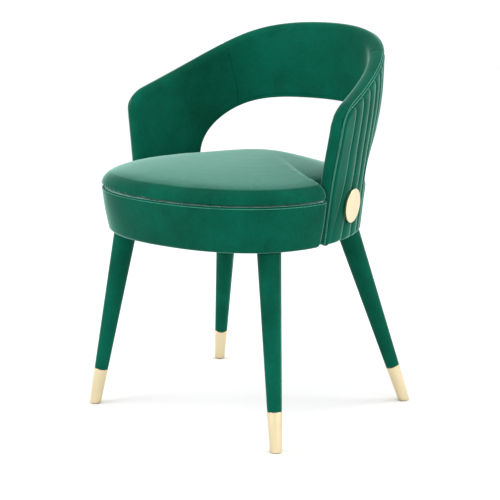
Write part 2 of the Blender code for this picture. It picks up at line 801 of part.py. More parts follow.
def build_fixings(members):
    """Brass medallions on short posts, and the bolts they hide, which hold shell to seat rails."""
    for hand, side in (("left", -1), ("right", 1)):
        centre, facing = medallion_frame(side)
        face = MEDALLION_THICKNESS
        medallion = turned(
            "medallion_" + hand,
            [
                (0.0, face),
                (MEDALLION_RADIUS - 0.0018, face),
                (MEDALLION_RADIUS - 0.0005, face - 0.0005),
                (MEDALLION_RADIUS, face - 0.0018),
                (MEDALLION_RADIUS, 0.0),
                (0.003, 0.0),
                (0.003, -0.008),
                (0.0, -0.008),
            ],
            BRASS,
        )
        medallion.location = centre + facing * 0.0009
        medallion.rotation_mode = "QUATERNION"
        medallion.rotation_quaternion = facing.to_track_quat("Z", "Y")
        post_ends = (centre - facing * 0.0095, centre + facing * 0.01)
        post = as_cutter(bar("post_hole_" + hand, 0.0034, *post_ends, STEEL))
        cut(members["cover_" + hand], post, "post_hole")

        level = Vector((facing.x, facing.y, 0.0)).normalized()
        low = centre - Vector((0.0, 0.0, SHELL_BOLT_DROP))
        bolt = turned(
            "shell_bolt_" + hand,
            [
                (0.0, 0.0),
                (0.0062, 0.0),
                (0.0062, -0.0035),
                (BOLT_RADIUS, -0.0035),
                (BOLT_RADIUS, -0.040),
                (0.0, -0.040),
            ],
            STEEL,
        )
        bolt.location = low - level * 0.0065
        bolt.rotation_mode = "QUATERNION"
        bolt.rotation_quaternion = level.to_track_quat("Z", "Y")
        head_ends = (low - level * 0.0135, low + level * 0.01)
        head_hole = as_cutter(bar("head_hole_" + hand, 0.0070, *head_ends, STEEL))
        shank_hole = as_cutter(bar("shank_hole_" + hand, BOLT_HOLE_RADIUS, low - level * 0.047, low, STEEL))
        cut(members["cover_" + hand], head_hole, "head_hole")
        cut(members["frame_" + hand], shank_hole, "shank_hole")
        cut(bpy.data.objects["side_rail_" + hand], shank_hole, "shank_hole")


def build_legs(blocks):
    planes = {
        "leg_top": box_cutter("leg_top_plane", LEG_CUT_HEIGHT, LEG_CUT_HEIGHT + 0.1),
        "ferrule_foot": box_cutter("ferrule_foot_plane", FERRULE_LIFT - 0.1, FERRULE_LIFT),
        "floor": box_cutter("floor_plane", -0.1, 0.0),
    }
    for place, tip, slope in (("front", FRONT_TIP, FRONT_LEAN), ("back", BACK_TIP, BACK_LEAN)):
        for hand, side in (("left", -1), ("right", 1)):
            tag = f"{place}_{hand}"
            hole = build_leg(tag, tip, slope, side, planes)
            cut(blocks[tag], hole, "bolt_hole")


def build_chair():
    build_rails()
    blocks = {}
    for hand, side in (("left", -1), ("right", 1)):
        blocks["front_" + hand] = front_block("front_" + hand, side)
        blocks["back_" + hand] = rear_block("back_" + hand, side)
    under = build_seat()
    clear_of_legs(under)
    build_legs(blocks)
    members = build_shell()
    build_fixings(members)


build_chair()
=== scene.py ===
"""Looks for the velvet dining chair: padded covers, flutes, seams, stitching, materials, light and camera,
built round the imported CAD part. Metres, +Z up, the chair faces -Y."""

import math

import bmesh
import bpy
import numpy as np
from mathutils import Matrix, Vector, noise


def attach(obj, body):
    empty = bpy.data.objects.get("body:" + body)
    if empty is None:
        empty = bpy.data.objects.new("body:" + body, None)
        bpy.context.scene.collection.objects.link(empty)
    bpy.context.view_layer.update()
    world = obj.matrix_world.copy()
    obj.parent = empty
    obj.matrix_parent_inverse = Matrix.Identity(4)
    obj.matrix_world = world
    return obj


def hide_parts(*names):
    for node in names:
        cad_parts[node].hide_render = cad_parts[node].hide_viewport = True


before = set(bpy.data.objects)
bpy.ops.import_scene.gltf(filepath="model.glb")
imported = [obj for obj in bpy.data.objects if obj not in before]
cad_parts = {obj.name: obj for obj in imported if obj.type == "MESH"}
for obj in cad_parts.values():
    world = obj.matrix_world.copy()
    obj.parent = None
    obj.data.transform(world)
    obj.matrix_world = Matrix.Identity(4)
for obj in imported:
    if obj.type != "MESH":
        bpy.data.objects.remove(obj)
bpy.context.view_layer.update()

# Driving heights, the same as the CAD model's
SEAT_BOTTOM = 0.377
SEAM_HEIGHT = 0.468
CROWN_TOP = 0.528

# Shell plan: one Bezier from the arm's front to the back's centre, at the foot and at the crest
SHELL_FOOT = ((0.2500, -0.052), (0.2370, 0.183), (0.1100, 0.2095), (0.0, 0.2095))
SHELL_CREST = ((0.2925, -0.034), (0.2367, 0.1696), (0.2340, 0.2800), (0.0, 0.2800))
SHELL_BOTTOM = 0.377
SHELL_TOP = 0.790
LEAN_SWELL = 0.17
LEAN_PEAK_POWER = 1.416
THICKNESS = 0.033
ROLL_RADIUS = THICKNESS / 2
RAIL_HEIGHTS = (0.626, 0.702, 0.7695, 0.7695)
ARM_CORNER_DROP = 0.020
ARM_CORNER_SPAN = 0.045
PLAN_SPEED = 0.42

# The opening in the back, in plan position and height
OPENING_HALF = 0.725
OPENING_MIDDLE = 0.490
OPENING_RISE = 0.135
OPENING_FALL = 0.035
OPENING_SQUARENESS = 2.25

# Covers of the shell
WELT_ANGLE = math.radians(40)
WELT_GAP = math.radians(4)
HEM = ((0.0115, 0.0), (0.0078, 0.0), (0.0046, 0.0005), (0.0020, 0.0021), (0.0005, 0.0046))
HEM_FOOT = 0.3772
COVER_WALL = 0.0052
EDGE_CURL = 0.009
FIRST_LINE = 0.062
LINE_COUNT = 15
LINE_SPACING = 0.0648
FOOT_SHIFT = 0.056
FOOT_SHIFT_LINES = 7
HOOK_REACH = 0.045
HOOK_HEIGHT = 0.030
FLUTE_DEPTH = 0.0040
CUT_GROW = 0.0018

# Seat outline: half width, depth of the front and where the corner starts, at the seam and the foot
SEAT_MID_Y = -0.054
SEAT_SQUARENESS = 2.3
SEAT_CORNER_RADIUS = 0.014
AT_SEAM = (0.2620, 0.2220, -0.0810)
AT_FOOT = (0.2505, 0.2076, -0.0855)
NECK_INSET = 0.0352
# The y that the cushion's outline shrinks about, at each size: the low rings keep clear of the arm's roll
CROWN_SIZES = (0.22, 0.55, 0.80, 0.92)
CROWN_CENTRES_Y = (0.060, 0.015, -0.030, -0.035)

# Legs: where the tip of each axis stands, and how far it moves per metre of height
LEGS = {
    "front": ((0.2417, -0.2053), (-0.1457, 0.1249)),
    "back": ((0.2561, 0.2205), (-0.2554, -0.2248)),
}
FERRULE_HEIGHT = 0.0761
LEG_TOP = 0.3764
LEG_LOW_RADIUS = 0.0142
LEG_TOP_RADIUS = 0.0234
FERRULE_TIP_RADIUS = 0.0113
FERRULE_TOP_RADIUS = 0.0146
FERRULE_LIFT = 0.0012

MEDALLION_RADIUS = 0.034
MEDALLION_THICKNESS = 0.0052
MEDALLION_PLACE = (0.118, 0.4455)

# Stitching
STITCH_PITCH = 0.0034
STITCH_LENGTH = 0.0026
STITCH_RADIUS = 0.00045


# The shell's surface


def bezier(points, t):
    t = np.asarray(t, float)
    s = 1.0 - t
    weights = (s**3, 3 * s * s * t, 3 * s * t * t, t**3)
    return sum(np.multiply.outer(w, np.asarray(p, float)) for w, p in zip(weights, points))


def lean(height):
    share = (height - SHELL_BOTTOM) / (SHELL_TOP - SHELL_BOTTOM)
    inside = np.clip(share, 0.0, 1.0)
    return share + LEAN_SWELL * np.sin(math.pi * inside**LEAN_PEAK_POWER) ** 3


def outer_plan(u, height):
    blend = lean(height)[..., None]
    return bezier(SHELL_FOOT, u) * (1.0 - blend) + bezier(SHELL_CREST, u) * blend


def shell(u, height, inset=0.0):
    """Points on the +X half at plan position u, 0 at the arm's front and 1 at the back's centre."""
    u, height, inset = (np.array(a, float) for a in np.broadcast_arrays(u, height, inset))
    step = 0.002
    along = outer_plan(np.minimum(u + step, 1.0), height) - outer_plan(np.maximum(u - step, 0.0), height)
    along /= np.linalg.norm(along, axis=-1, keepdims=True)
    along = np.where((u > 1.0 - step)[..., None], (-1.0, 0.0), along)
    plan = outer_plan(u, height) - inset[..., None] * np.stack([along[..., 1], -along[..., 0]], -1)
    return np.concatenate([plan, height[..., None]], -1)


def edge_height(u):
    """Height of the middle of the rolled edge."""
    across = np.clip(1.0 - np.asarray(u, float) / ARM_CORNER_SPAN, 0.0, 1.0)
    drop = ARM_CORNER_DROP * (1.0 - np.sqrt(1.0 - across * across))
    return bezier(RAIL_HEIGHTS, u) - drop


def unit(vectors):
    return vectors / np.maximum(np.linalg.norm(vectors, axis=-1, keepdims=True), 1e-12)


def edge_frame(u, height):
    """Centre, outward normal and edge-ward direction of the rolled edge. On the arm's front u is 0."""
    u, height = (np.array(a, float) for a in np.broadcast_arrays(u, height))
    step = 0.0015
    centre = shell(u, height, ROLL_RADIUS)
    low, high = np.maximum(u - step, 0.0), np.minimum(u + step, 1.0)
    on_top = shell(high, edge_height(high), ROLL_RADIUS) - shell(low, edge_height(low), ROLL_RADIUS)
    on_front = shell(0.0, height + step, ROLL_RADIUS) - shell(0.0, height - step, ROLL_RADIUS)
    along = unit(np.where((u > 1e-6)[..., None], on_top, on_front))
    normal = shell(u, height, 0.0) - centre
    normal = unit(normal - along * (normal * along).sum(-1, keepdims=True))
    return centre, normal, unit(np.cross(normal, along))


def roll_point(u, height, angle, radius):
    """A point on the rolled edge: angle 0 on the outer face, 90 degrees on the crest, 180 on the inner."""
    centre, normal, outward = edge_frame(u, height)
    angle, radius = np.asarray(angle)[..., None], np.asarray(radius)[..., None]
    return centre + radius * (np.cos(angle) * normal + np.sin(angle) * outward)


def opening_edge(angle, grow=0.0):
    """(u, height) on the opening's edge: angle 0 at the arm, 90 degrees at the top centre."""
    power = 2.0 / OPENING_SQUARENESS
    angle = np.asarray(angle, float)
    rise = np.where(angle >= 0, OPENING_RISE, OPENING_FALL) + grow
    u = 1.0 - (OPENING_HALF + grow / PLAN_SPEED) * np.maximum(np.cos(angle), 0.0) ** power
    return u, OPENING_MIDDLE + np.sign(angle) * rise * np.abs(np.sin(angle)) ** power


def opening_distance(u, height):
    """How far a point lies outside the opening's edge, in metres, 0 inside it."""
    low, high = np.zeros_like(u), np.full_like(u, 0.30)
    for _ in range(24):
        middle = (low + high) / 2
        rise = np.where(height >= OPENING_MIDDLE, OPENING_RISE, OPENING_FALL) + middle
        across = np.clip(1.0 - u, 0.0, None) / (OPENING_HALF + middle / PLAN_SPEED)
        upward = np.abs(height - OPENING_MIDDLE) / rise
        outside = across**OPENING_SQUARENESS + upward**OPENING_SQUARENESS > 1.0
        low, high = np.where(outside, middle, low), np.where(outside, high, middle)
    return low


def rounded(distance, radius):
    """0 at an edge, rising as a quarter circle to 1 at radius from it."""
    share = 1.0 - np.clip(distance / radius, 0.0, 1.0)
    return np.sqrt(1.0 - share * share)


def smoothstep(value, low, high):
    share = np.clip((value - low) / (high - low), 0.0, 1.0)
    return share * share * (3.0 - 2.0 * share)


def unevenness(points, scale, size, seed):
    """Soft, repeatable unevenness for padding, one value per point."""
    flat = points.reshape(-1, 3)
    values = [noise.noise(Vector(p) / scale + Vector((seed, 0.3 * seed, 0.7 * seed))) for p in flat]
    return size * np.array(values).reshape(points.shape[:-1])


# Making meshes


def make_piece(name, points, faces, material, smooth=True):
    mesh = bpy.data.meshes.new(name)
    mesh.from_pydata([tuple(p) for p in points], [], [tuple(int(i) for i in f) for f in faces])
    mesh.validate()
    obj = bpy.data.objects.new(name, mesh)
    bpy.context.scene.collection.objects.link(obj)
    mesh.materials.append(material)
    if smooth:
        mesh.shade_smooth()
    return obj


def grid_faces(ids, wrap=False):
    """Faces of a grid of vertex numbers, rows by columns."""
    ids = np.asarray(ids)
    if wrap:
        ids = np.concatenate([ids, ids[:, :1]], axis=1)
    quads = np.stack([ids[:-1, :-1], ids[:-1, 1:], ids[1:, 1:], ids[1:, :-1]], -1)
    return [tuple(q) for q in quads.reshape(-1, 4)]


def apply_modifiers(obj):
    bpy.context.view_layer.update()
    depsgraph = bpy.context.evaluated_depsgraph_get()
    mesh = bpy.data.meshes.new_from_object(obj.evaluated_get(depsgraph))
    obj.modifiers.clear()
    obj.data = mesh


def drop_loose_points(obj):
    bm = bmesh.new()
    bm.from_mesh(obj.data)
    bmesh.ops.delete(bm, geom=[v for v in bm.verts if not v.link_faces], context="VERTS")
    bm.to_mesh(obj.data)
    bm.free()


def recalculate_normals(obj):
    """Consistent normals, facing out when the mesh is closed."""
    bm = bmesh.new()
    bm.from_mesh(obj.data)
    bmesh.ops.recalc_face_normals(bm, faces=bm.faces)
    closed = all(edge.is_manifold for edge in bm.edges)
    if closed and bm.calc_volume(signed=True) < 0.0:
        bmesh.ops.reverse_faces(bm, faces=bm.faces)
    bm.to_mesh(obj.data)
    bm.free()


def add_wall(obj, thickness, offset=-1.0):
    solid = obj.modifiers.new("wall", "SOLIDIFY")
    solid.thickness = thickness
    solid.offset = offset
    solid.use_even_offset = False
    solid.use_rim = True


def tube_loft(name, loops, material, closed_path=False):
    """Joins same-sized closed sections along a path, capped at its ends when the path is open."""
    loops = np.asarray(loops)
    count, sides = loops.shape[:2]
    ids = np.arange(count * sides).reshape(count, sides)
    faces = grid_faces(ids, wrap=True)
    if closed_path:
        faces += grid_faces(np.stack([ids[-1], ids[0]]), wrap=True)
    else:
        faces += [tuple(ids[0][::-1]), tuple(ids[-1])]
    obj = make_piece(name, loops.reshape(-1, 3), faces, material)
    recalculate_normals(obj)
    return obj


def soft_piece(obj, slot, *nodes):
    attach(obj, "root")
    if nodes:
        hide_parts(*nodes)
    return obj


# Materials


class Nodes:
    """A short way to write a material's node tree."""

    def __init__(self, name):
        self.material = bpy.data.materials.new(name)
        self.material.use_nodes = True
        self.tree = self.material.node_tree
        self.shader = self.tree.nodes["Principled BSDF"]

    def add(self, kind, **settings):
        node = self.tree.nodes.new(kind)
        for key, value in settings.items():
            setattr(node, key, value)
        return node

    def link(self, source, target):
        self.tree.links.new(source, target)

    def coordinates(self, scale=(1.0, 1.0, 1.0)):
        place = self.add("ShaderNodeTexCoord")
        mapping = self.add("ShaderNodeMapping")
        mapping.inputs["Scale"].default_value = scale
        self.link(place.outputs["Object"], mapping.inputs["Vector"])
        return mapping.outputs["Vector"]

    def noise(self, scale, detail=3.0, roughness=0.5, vector=None):
        node = self.add("ShaderNodeTexNoise")
        node.inputs["Scale"].default_value = scale
        node.inputs["Detail"].default_value = detail
        node.inputs["Roughness"].default_value = roughness
        self.link(vector or self.coordinates(), node.inputs["Vector"])
        return node.outputs["Fac"]

    def ramp(self, source, stops):
        node = self.add("ShaderNodeValToRGB")
        elements = node.color_ramp.elements
        while len(elements) < len(stops):
            elements.new(0.5)
        for element, (place, colour) in zip(elements, stops):
            element.position = place
            element.color = (*colour, 1.0)
        self.link(source, node.inputs["Fac"])
        return node.outputs["Color"]

    def mix(self, amount, first, second, blend="MIX"):
        node = self.add("ShaderNodeMix", data_type="RGBA", blend_type=blend)
        self.put(amount, node.inputs[0])
        self.put(first, node.inputs[6])
        self.put(second, node.inputs[7])
        return node.outputs[2]

    def put(self, value, socket):
        if isinstance(value, bpy.types.NodeSocket):
            self.link(value, socket)
        else:
            socket.default_value = value

    def to_range(self, source, low, high):
        node = self.add("ShaderNodeMapRange")
        node.inputs["To Min"].default_value = low
        node.inputs["To Max"].default_value = high
        self.link(source, node.inputs["Value"])
        return node.outputs["Result"]

    def add_up(self, first, second, weight):
        node = self.add("ShaderNodeMath", operation="MULTIPLY_ADD")
        self.link(second, node.inputs[0])
        node.inputs[1].default_value = weight
        self.link(first, node.inputs[2])
        return node.outputs[0]

    def bump(self, source, strength, distance):
        node = self.add("ShaderNodeBump")
        node.inputs["Strength"].default_value = strength
        node.inputs["Distance"].default_value = distance
        self.link(source, node.inputs["Height"])
        self.link(node.outputs["Normal"], self.shader.inputs["Normal"])

    def set(self, **values):
        for key, value in values.items():
            self.put(value, self.shader.inputs[key.replace("_", " ")])


def velvet_material(name="green_velvet", painted_top_sheen=False):
    """Short dense pile: dark in the depth, pale where it is seen edge on, with soft brushed patches. With
    painted_top_sheen, a pale sheen is also painted into the base colour where the surface faces up, standing in
    for the light the top catches."""
    n = Nodes(name)
    patches = n.noise(7.0, detail=5.0, roughness=0.62)
    fine = n.noise(160.0, detail=4.0, roughness=0.7)
    colour = n.ramp(patches, ((0.34, (0.0002, 0.066, 0.037)), (0.66, (0.0010, 0.112, 0.068))))
    if painted_top_sheen:
        # Painted sheen: faces that point up are mixed toward pale green in the base colour, a highlight painted
        # in for the light falling on the top
        facing = n.add("ShaderNodeSeparateXYZ")
        n.link(n.add("ShaderNodeNewGeometry").outputs["Normal"], facing.inputs[0])
        upward = n.ramp(facing.outputs["Z"], ((0.86, (0.0, 0.0, 0.0)), (0.97, (1.0, 1.0, 1.0))))
        colour = n.mix(upward, colour, (0.085, 0.235, 0.180, 1.0))
    grain = n.ramp(fine, ((0.3, (0.80, 0.80, 0.80)), (0.7, (1.0, 1.0, 1.0))))
    n.set(Base_Color=n.mix(1.0, colour, grain, "MULTIPLY"))
    n.set(Roughness=n.to_range(patches, 0.62, 0.80))
    n.set(Specular_IOR_Level=0.04)
    n.set(Sheen_Weight=1.0, Sheen_Roughness=0.25, Sheen_Tint=(0.60, 1.0, 0.88, 1.0))
    pile = n.add_up(n.noise(900.0, detail=2.0), fine, 0.8)
    n.bump(pile, 0.22, 0.0006)
    return n.material


def thread_material():
    n = Nodes("green_thread")
    twist = n.add("ShaderNodeTexWave", wave_type="BANDS")
    twist.inputs["Scale"].default_value = 900.0
    n.link(n.coordinates(), twist.inputs["Vector"])
    n.set(Base_Color=n.ramp(twist.outputs["Fac"], ((0.0, (0.06, 0.34, 0.24)), (1.0, (0.12, 0.50, 0.37)))))
    n.set(Roughness=0.5, Sheen_Weight=0.5, Sheen_Roughness=0.3)
    return n.material


def brass_material():
    n = Nodes("polished_brass")
    clouds = n.noise(22.0, detail=3.0)
    hairlines = n.noise(60.0, detail=4.0, vector=n.coordinates((1.0, 1.0, 30.0)))
    n.set(Base_Color=n.ramp(clouds, ((0.3, (0.70, 0.59, 0.37)), (0.7, (0.76, 0.64, 0.42)))))
    n.set(Metallic=1.0, Roughness=n.to_range(hairlines, 0.16, 0.27))
    n.bump(hairlines, 0.05, 0.0002)
    return n.material


def plywood_material():
    n = Nodes("birch_plywood")
    rings = n.add("ShaderNodeTexWave", wave_type="BANDS", bands_direction="Z")
    rings.inputs["Scale"].default_value = 130.0
    rings.inputs["Distortion"].default_value = 2.5
    n.link(n.coordinates(), rings.inputs["Vector"])
    grain = n.noise(40.0, detail=5.0, vector=n.coordinates((1.0, 8.0, 8.0)))
    ply = n.ramp(rings.outputs["Fac"], ((0.2, (0.50, 0.33, 0.18)), (0.8, (0.66, 0.48, 0.29))))
    n.set(Base_Color=n.mix(0.35, ply, n.ramp(grain, ((0.3, (0.42, 0.27, 0.14)), (0.7, (0.72, 0.54, 0.34))))))
    n.set(Roughness=n.to_range(grain, 0.5, 0.75))
    n.bump(grain, 0.2, 0.0004)
    return n.material


def steel_material():
    n = Nodes("zinc_steel")
    spangle = n.noise(300.0, detail=2.0)
    n.set(Base_Color=n.ramp(spangle, ((0.3, (0.46, 0.47, 0.49)), (0.7, (0.66, 0.67, 0.70)))))
    n.set(Metallic=1.0, Roughness=n.to_range(spangle, 0.28, 0.45))
    n.bump(spangle, 0.1, 0.0002)
    return n.material


def nylon_material():
    n = Nodes("black_nylon")
    grain = n.noise(500.0, detail=2.0)
    n.set(Base_Color=n.ramp(grain, ((0.3, (0.012, 0.012, 0.012)), (0.7, (0.03, 0.03, 0.03)))))
    n.set(Roughness=n.to_range(grain, 0.45, 0.65))
    n.bump(grain, 0.15, 0.0002)
    return n.material


def foam_material():
    n = Nodes("seat_foam")
    cells = n.add("ShaderNodeTexVoronoi")
    cells.inputs["Scale"].default_value = 600.0
    n.link(n.coordinates(), cells.inputs["Vector"])
    stops = ((0.0, (0.55, 0.49, 0.34)), (0.5, (0.84, 0.79, 0.62)))
    n.set(Base_Color=n.ramp(cells.outputs["Distance"], stops))
    n.set(Roughness=0.95)
    n.bump(cells.outputs["Distance"], 0.5, 0.0006)
    return n.material


def undercloth_material():
    n = Nodes("black_undercloth")
    fibres = n.noise(240.0, detail=6.0, roughness=0.75)
    n.set(Base_Color=n.ramp(fibres, ((0.35, (0.008, 0.008, 0.009)), (0.7, (0.035, 0.035, 0.038)))))
    n.set(Roughness=0.95)
    n.bump(fibres, 0.6, 0.0004)
    return n.material


VELVET = velvet_material()
# The seat cushion's velvet, with a pale sheen painted into the colour of its upward faces
SEAT_VELVET_PAINTED_SHEEN = velvet_material("green_velvet_painted_top_sheen", painted_top_sheen=True)
THREAD = thread_material()
BRASS = brass_material()
PLYWOOD = plywood_material()
STEEL = steel_material()
NYLON = nylon_material()
FOAM = foam_material()
UNDERCLOTH = undercloth_material()


def dress_cad_nodes():
    """Every CAD node that stays gets the procedural material of its slot."""
    by_start = (
        (("front_rail", "back_rail", "side_rail", "leg_block", "leg_core", "frame_", "seat_deck"), PLYWOOD),
        (("leg_bolt", "leg_washer", "shell_bolt"), STEEL),
        (("glide",), NYLON),
        (("seat_base_foam",), FOAM),
        (("undercloth",), UNDERCLOTH),
        (("ferrule", "medallion"), BRASS),
    )
    for name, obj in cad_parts.items():
        material = VELVET
        for starts, choice in by_start:
            if name.startswith(starts):
                material = choice
        for slot in obj.material_slots:
            slot.material = material


# The shell's covers


def line_place(index, height, to_welt):
    """Plan position of the stitched line with this number, from the arm's front."""
    middle = FIRST_LINE + LINE_SPACING * (index - 1)
    shift = FOOT_SHIFT * max(0.0, 1.0 - (index - 1) / FOOT_SHIFT_LINES)
    hook = HOOK_REACH * min(1.0, (1.0 - middle) / 0.5)
    place = middle - shift * (1.0 - smoothstep(height, 0.370, 0.520))
    place = place + 0.014 * min(1.0, (1.0 - middle) / 0.5) * smoothstep(height, 0.56, 0.70)
    return place - hook * (1.0 - rounded(to_welt, HOOK_HEIGHT))


def channel_place(channel, share, height, to_welt):
    """Plan position of a point a share of the way across a channel; channel 0 is the smooth front panel."""
    first = 0.0 if channel == 0 else line_place(channel, height, to_welt)
    if channel == LINE_COUNT:
        return first + (1.0 - first) * 2.0 * share
    return first + (line_place(channel + 1, height, to_welt) - first) * share


ACROSS = (0.0, 0.035, 0.085, 0.16, 0.26, 0.38, 0.5, 0.62, 0.74, 0.84, 0.915, 0.965)
FRONT_ACROSS = (0.0, 0.08, 0.17, 0.27, 0.37, 0.47, 0.57, 0.67, 0.76, 0.83, 0.89, 0.935, 0.97)


def channel_columns():
    """(channel, share) for each column of the +X half, the last one on the back's centre line."""
    columns = [(0, share) for share in FRONT_ACROSS]
    for channel in range(1, LINE_COUNT):
        columns += [(channel, share) for share in ACROSS]
    return columns + [(LINE_COUNT, share) for share in ACROSS[:7]]


def flute(channel, share):
    """How full the padding stands across a channel: 0 in a stitched line and 1 on the crest."""
    if channel == 0:
        return float(rounded(1.0 - share, 0.28))
    return (1.0 - abs(2.0 * share - 1.0) ** 2.4) ** 0.62


def hem_rows(count, foot, top):
    """Heights and insets of the hem's rows and then the face's, for columns with that foot and top."""
    heights = [foot + rise for _, rise in HEM]
    insets = [inset for inset, _ in HEM]
    start = foot + 0.0070
    for i in range(count + 1):
        heights.append(start + (top - start) * i / count)
        insets.append(0.0)
    return heights, insets


ROW_COUNT = 84
OUTER_ARC = np.linspace(0.0, 1.0, 7)[1:] * (WELT_ANGLE - WELT_GAP)
ARC_LENGTH = ROLL_RADIUS * (WELT_ANGLE - WELT_GAP)


def snap_to_opening(places, heights):
    """Marks the grid points inside the opening and moves those beside its edge onto the edge."""
    inside = opening_distance(places, heights) <= CUT_GROW
    padded = np.pad(inside, 1, mode="edge")
    rows, columns = inside.shape
    shifts = [padded[i : i + rows, j : j + columns] for i in range(3) for j in range(3)]
    beside = inside & ~np.logical_and.reduce(shifts)
    edge_u, edge_z = opening_edge(np.linspace(-math.pi / 2, math.pi / 2, 1200), CUT_GROW)
    away = (places[beside][:, None] - edge_u) ** 2 * PLAN_SPEED**2 + (heights[beside][:, None] - edge_z) ** 2
    nearest = away.argmin(1)
    on_middle = places[beside] > 0.9999
    middle_z = np.where(heights[beside] > OPENING_MIDDLE, edge_z[-1], edge_z[0])
    places[beside] = np.where(on_middle, 1.0, edge_u[nearest])
    heights[beside] = np.where(on_middle, middle_z, edge_z[nearest])
    return inside


def outer_cover_half():
    """Points of the face, rows by columns, and of its strips round the rolled edge, for the +X half."""
    columns = channel_columns()
    shape = (len(HEM) + ROW_COUNT + 1, len(columns))
    places, heights, insets, to_welt = (np.zeros(shape) for _ in range(4))
    full = np.array([flute(channel, share) for channel, share in columns])
    top_strip = np.zeros((len(OUTER_ARC), len(columns), 3))
    left = ARC_LENGTH - ROLL_RADIUS * OUTER_ARC
    for j, (channel, share) in enumerate(columns):
        place = np.full(shape[0], channel_place(channel, share, np.array(0.6), np.array(1.0)))
        for _ in range(5):
            top = edge_height(place[-1])
            heights[:, j], insets[:, j] = hem_rows(ROW_COUNT, HEM_FOOT, top)
            to_welt[:, j] = edge_height(place) - heights[:, j] + ARC_LENGTH
            place = np.clip(channel_place(channel, share, heights[:, j], to_welt[:, j]), 0.0, 1.0)
            place = place + np.zeros(shape[0])
        places[:, j] = place
        place_top = np.clip(channel_place(channel, share, top, left), 0.0, 1.0) + np.zeros(len(left))
        radius = ROLL_RADIUS - FLUTE_DEPTH * (1.0 - full[j] * rounded(left, EDGE_CURL))
        top_strip[:, j] = roll_point(place_top, edge_height(place_top), OUTER_ARC, radius)
    inside = snap_to_opening(places, heights)
    edge = rounded(np.minimum(to_welt, places * PLAN_SPEED + ARC_LENGTH), EDGE_CURL)
    edge = edge * rounded(opening_distance(places, heights) - CUT_GROW, EDGE_CURL)
    face = shell(places, heights, insets + FLUTE_DEPTH * (1.0 - full * edge))
    rows = np.array(hem_rows(ROW_COUNT, HEM_FOOT, float(edge_height(0.0))))
    front_strip = np.zeros((len(rows[0]), len(OUTER_ARC), 3))
    for i, angle in enumerate(OUTER_ARC):
        near = rounded(ARC_LENGTH - ROLL_RADIUS * angle, EDGE_CURL)
        radius = ROLL_RADIUS - rows[1] - FLUTE_DEPTH * (1.0 - near)
        front_strip[:, i] = roll_point(0.0, rows[0], angle, radius)
    return face, top_strip, front_strip, inside


def whole_cover(name, halves, material):
    """One surface from the +X half's face, top strip and front strip, and their mirror images."""
    face, top_strip, front_strip, inside = halves
    mirror = np.array((-1.0, 1.0, 1.0))
    face = np.concatenate([face, face[:, -2::-1] * mirror], axis=1)
    top_strip = np.concatenate([top_strip, top_strip[:, -2::-1] * mirror], axis=1)
    inside = np.concatenate([inside, inside[:, -2::-1]], axis=1).reshape(-1)
    rows, columns = face.shape[:2]
    arcs = len(top_strip)
    face_ids = np.arange(rows * columns).reshape(rows, columns)
    top_ids = rows * columns + np.arange(arcs * columns).reshape(arcs, columns)
    side_count = (rows - 1) * arcs
    side_start = (rows + arcs) * columns
    points = [face.reshape(-1, 3), top_strip.reshape(-1, 3)]
    faces = [face for face in grid_faces(face_ids) if not inside[list(face)].all()]
    faces += grid_faces(np.concatenate([face_ids[-1:], top_ids]))
    for hand, border, corner in ((0, face_ids[:, 0], top_ids[:, 0]), (1, face_ids[:, -1], top_ids[:, -1])):
        ids = side_start + hand * side_count + np.arange(side_count).reshape(rows - 1, arcs)
        side = np.concatenate([border[:, None], np.concatenate([ids, corner[None, :]])], axis=1)
        faces += grid_faces(side[:, ::-1] if hand == 0 else side)
        points.append((front_strip[:-1] * (mirror if hand else 1.0)).reshape(-1, 3))
    obj = make_piece(name, np.concatenate(points), faces, material)
    drop_loose_points(obj)
    recalculate_normals(obj)
    return obj


def inward_facing(obj):
    """True if the open cover's normals point to the chair's middle line."""
    total = 0.0
    for polygon in obj.data.polygons:
        centre = polygon.center
        total += polygon.area * (polygon.normal.x * centre.x + polygon.normal.y * centre.y)
    return total < 0.0


def face_outward(obj, outward=True):
    if inward_facing(obj) == outward:
        obj.data.flip_normals()


def build_outer_cover():
    cover = whole_cover("outer_cover", outer_cover_half(), VELVET)
    face_outward(cover)
    add_wall(cover, COVER_WALL)
    apply_modifiers(cover)
    cover.data.shade_smooth()
    nodes = ["outer_back_panel", "outer_lower_panel"]
    nodes += [f"outer_{kind}_panel_{hand}" for kind in ("side", "channel") for hand in ("left", "right")]
    soft_piece(cover, "green_velvet", *nodes)


INNER_SEAM = (
    (0.548, 0.45), (0.543, 0.600), (0.545, 0.625), (0.535, 0.649), (0.510, 0.680), (0.487, 0.707),
    (0.462, 0.745),
)
INNER_COLUMNS = 56
INNER_ROWS = 64
INNER_ARC = math.pi - np.linspace(0.0, 1.0, 17)[1:] * (math.pi - WELT_ANGLE - WELT_GAP)
SEAM_STEPS = (0.0006, 0.0014, 0.0026, 0.0046, 0.0075)
SEAM_DEPTH = 0.0017


def seam_place(height):
    places, heights = zip(*INNER_SEAM)
    return np.interp(height, heights, places)


def inner_columns():
    """Each column as its side of the seam, share of the way along that side, and metres from the seam."""
    near = [step / PLAN_SPEED for step in SEAM_STEPS]
    columns = [(0, share, None) for share in np.linspace(0.0, 0.955, INNER_COLUMNS)]
    columns += [(0, 1.0, -step) for step in reversed(near)] + [(0, 1.0, 0.0)]
    columns += [(1, 0.0, step) for step in near]
    return columns + [(1, share, None) for share in np.linspace(0.055, 1.0, INNER_COLUMNS)]


def inner_place(column, height):
    side, share, step = column
    seam = seam_place(height)
    if step is not None:
        return seam + step
    return seam * share if side == 0 else seam + (1.0 - seam) * share


def inner_foot(u):
    """The cover runs down to the foot on the arm's front and stops over the deck behind it."""
    return HEM_FOOT + 0.0023 + (0.4535 - HEM_FOOT) * smoothstep(u, 0.012, 0.036)


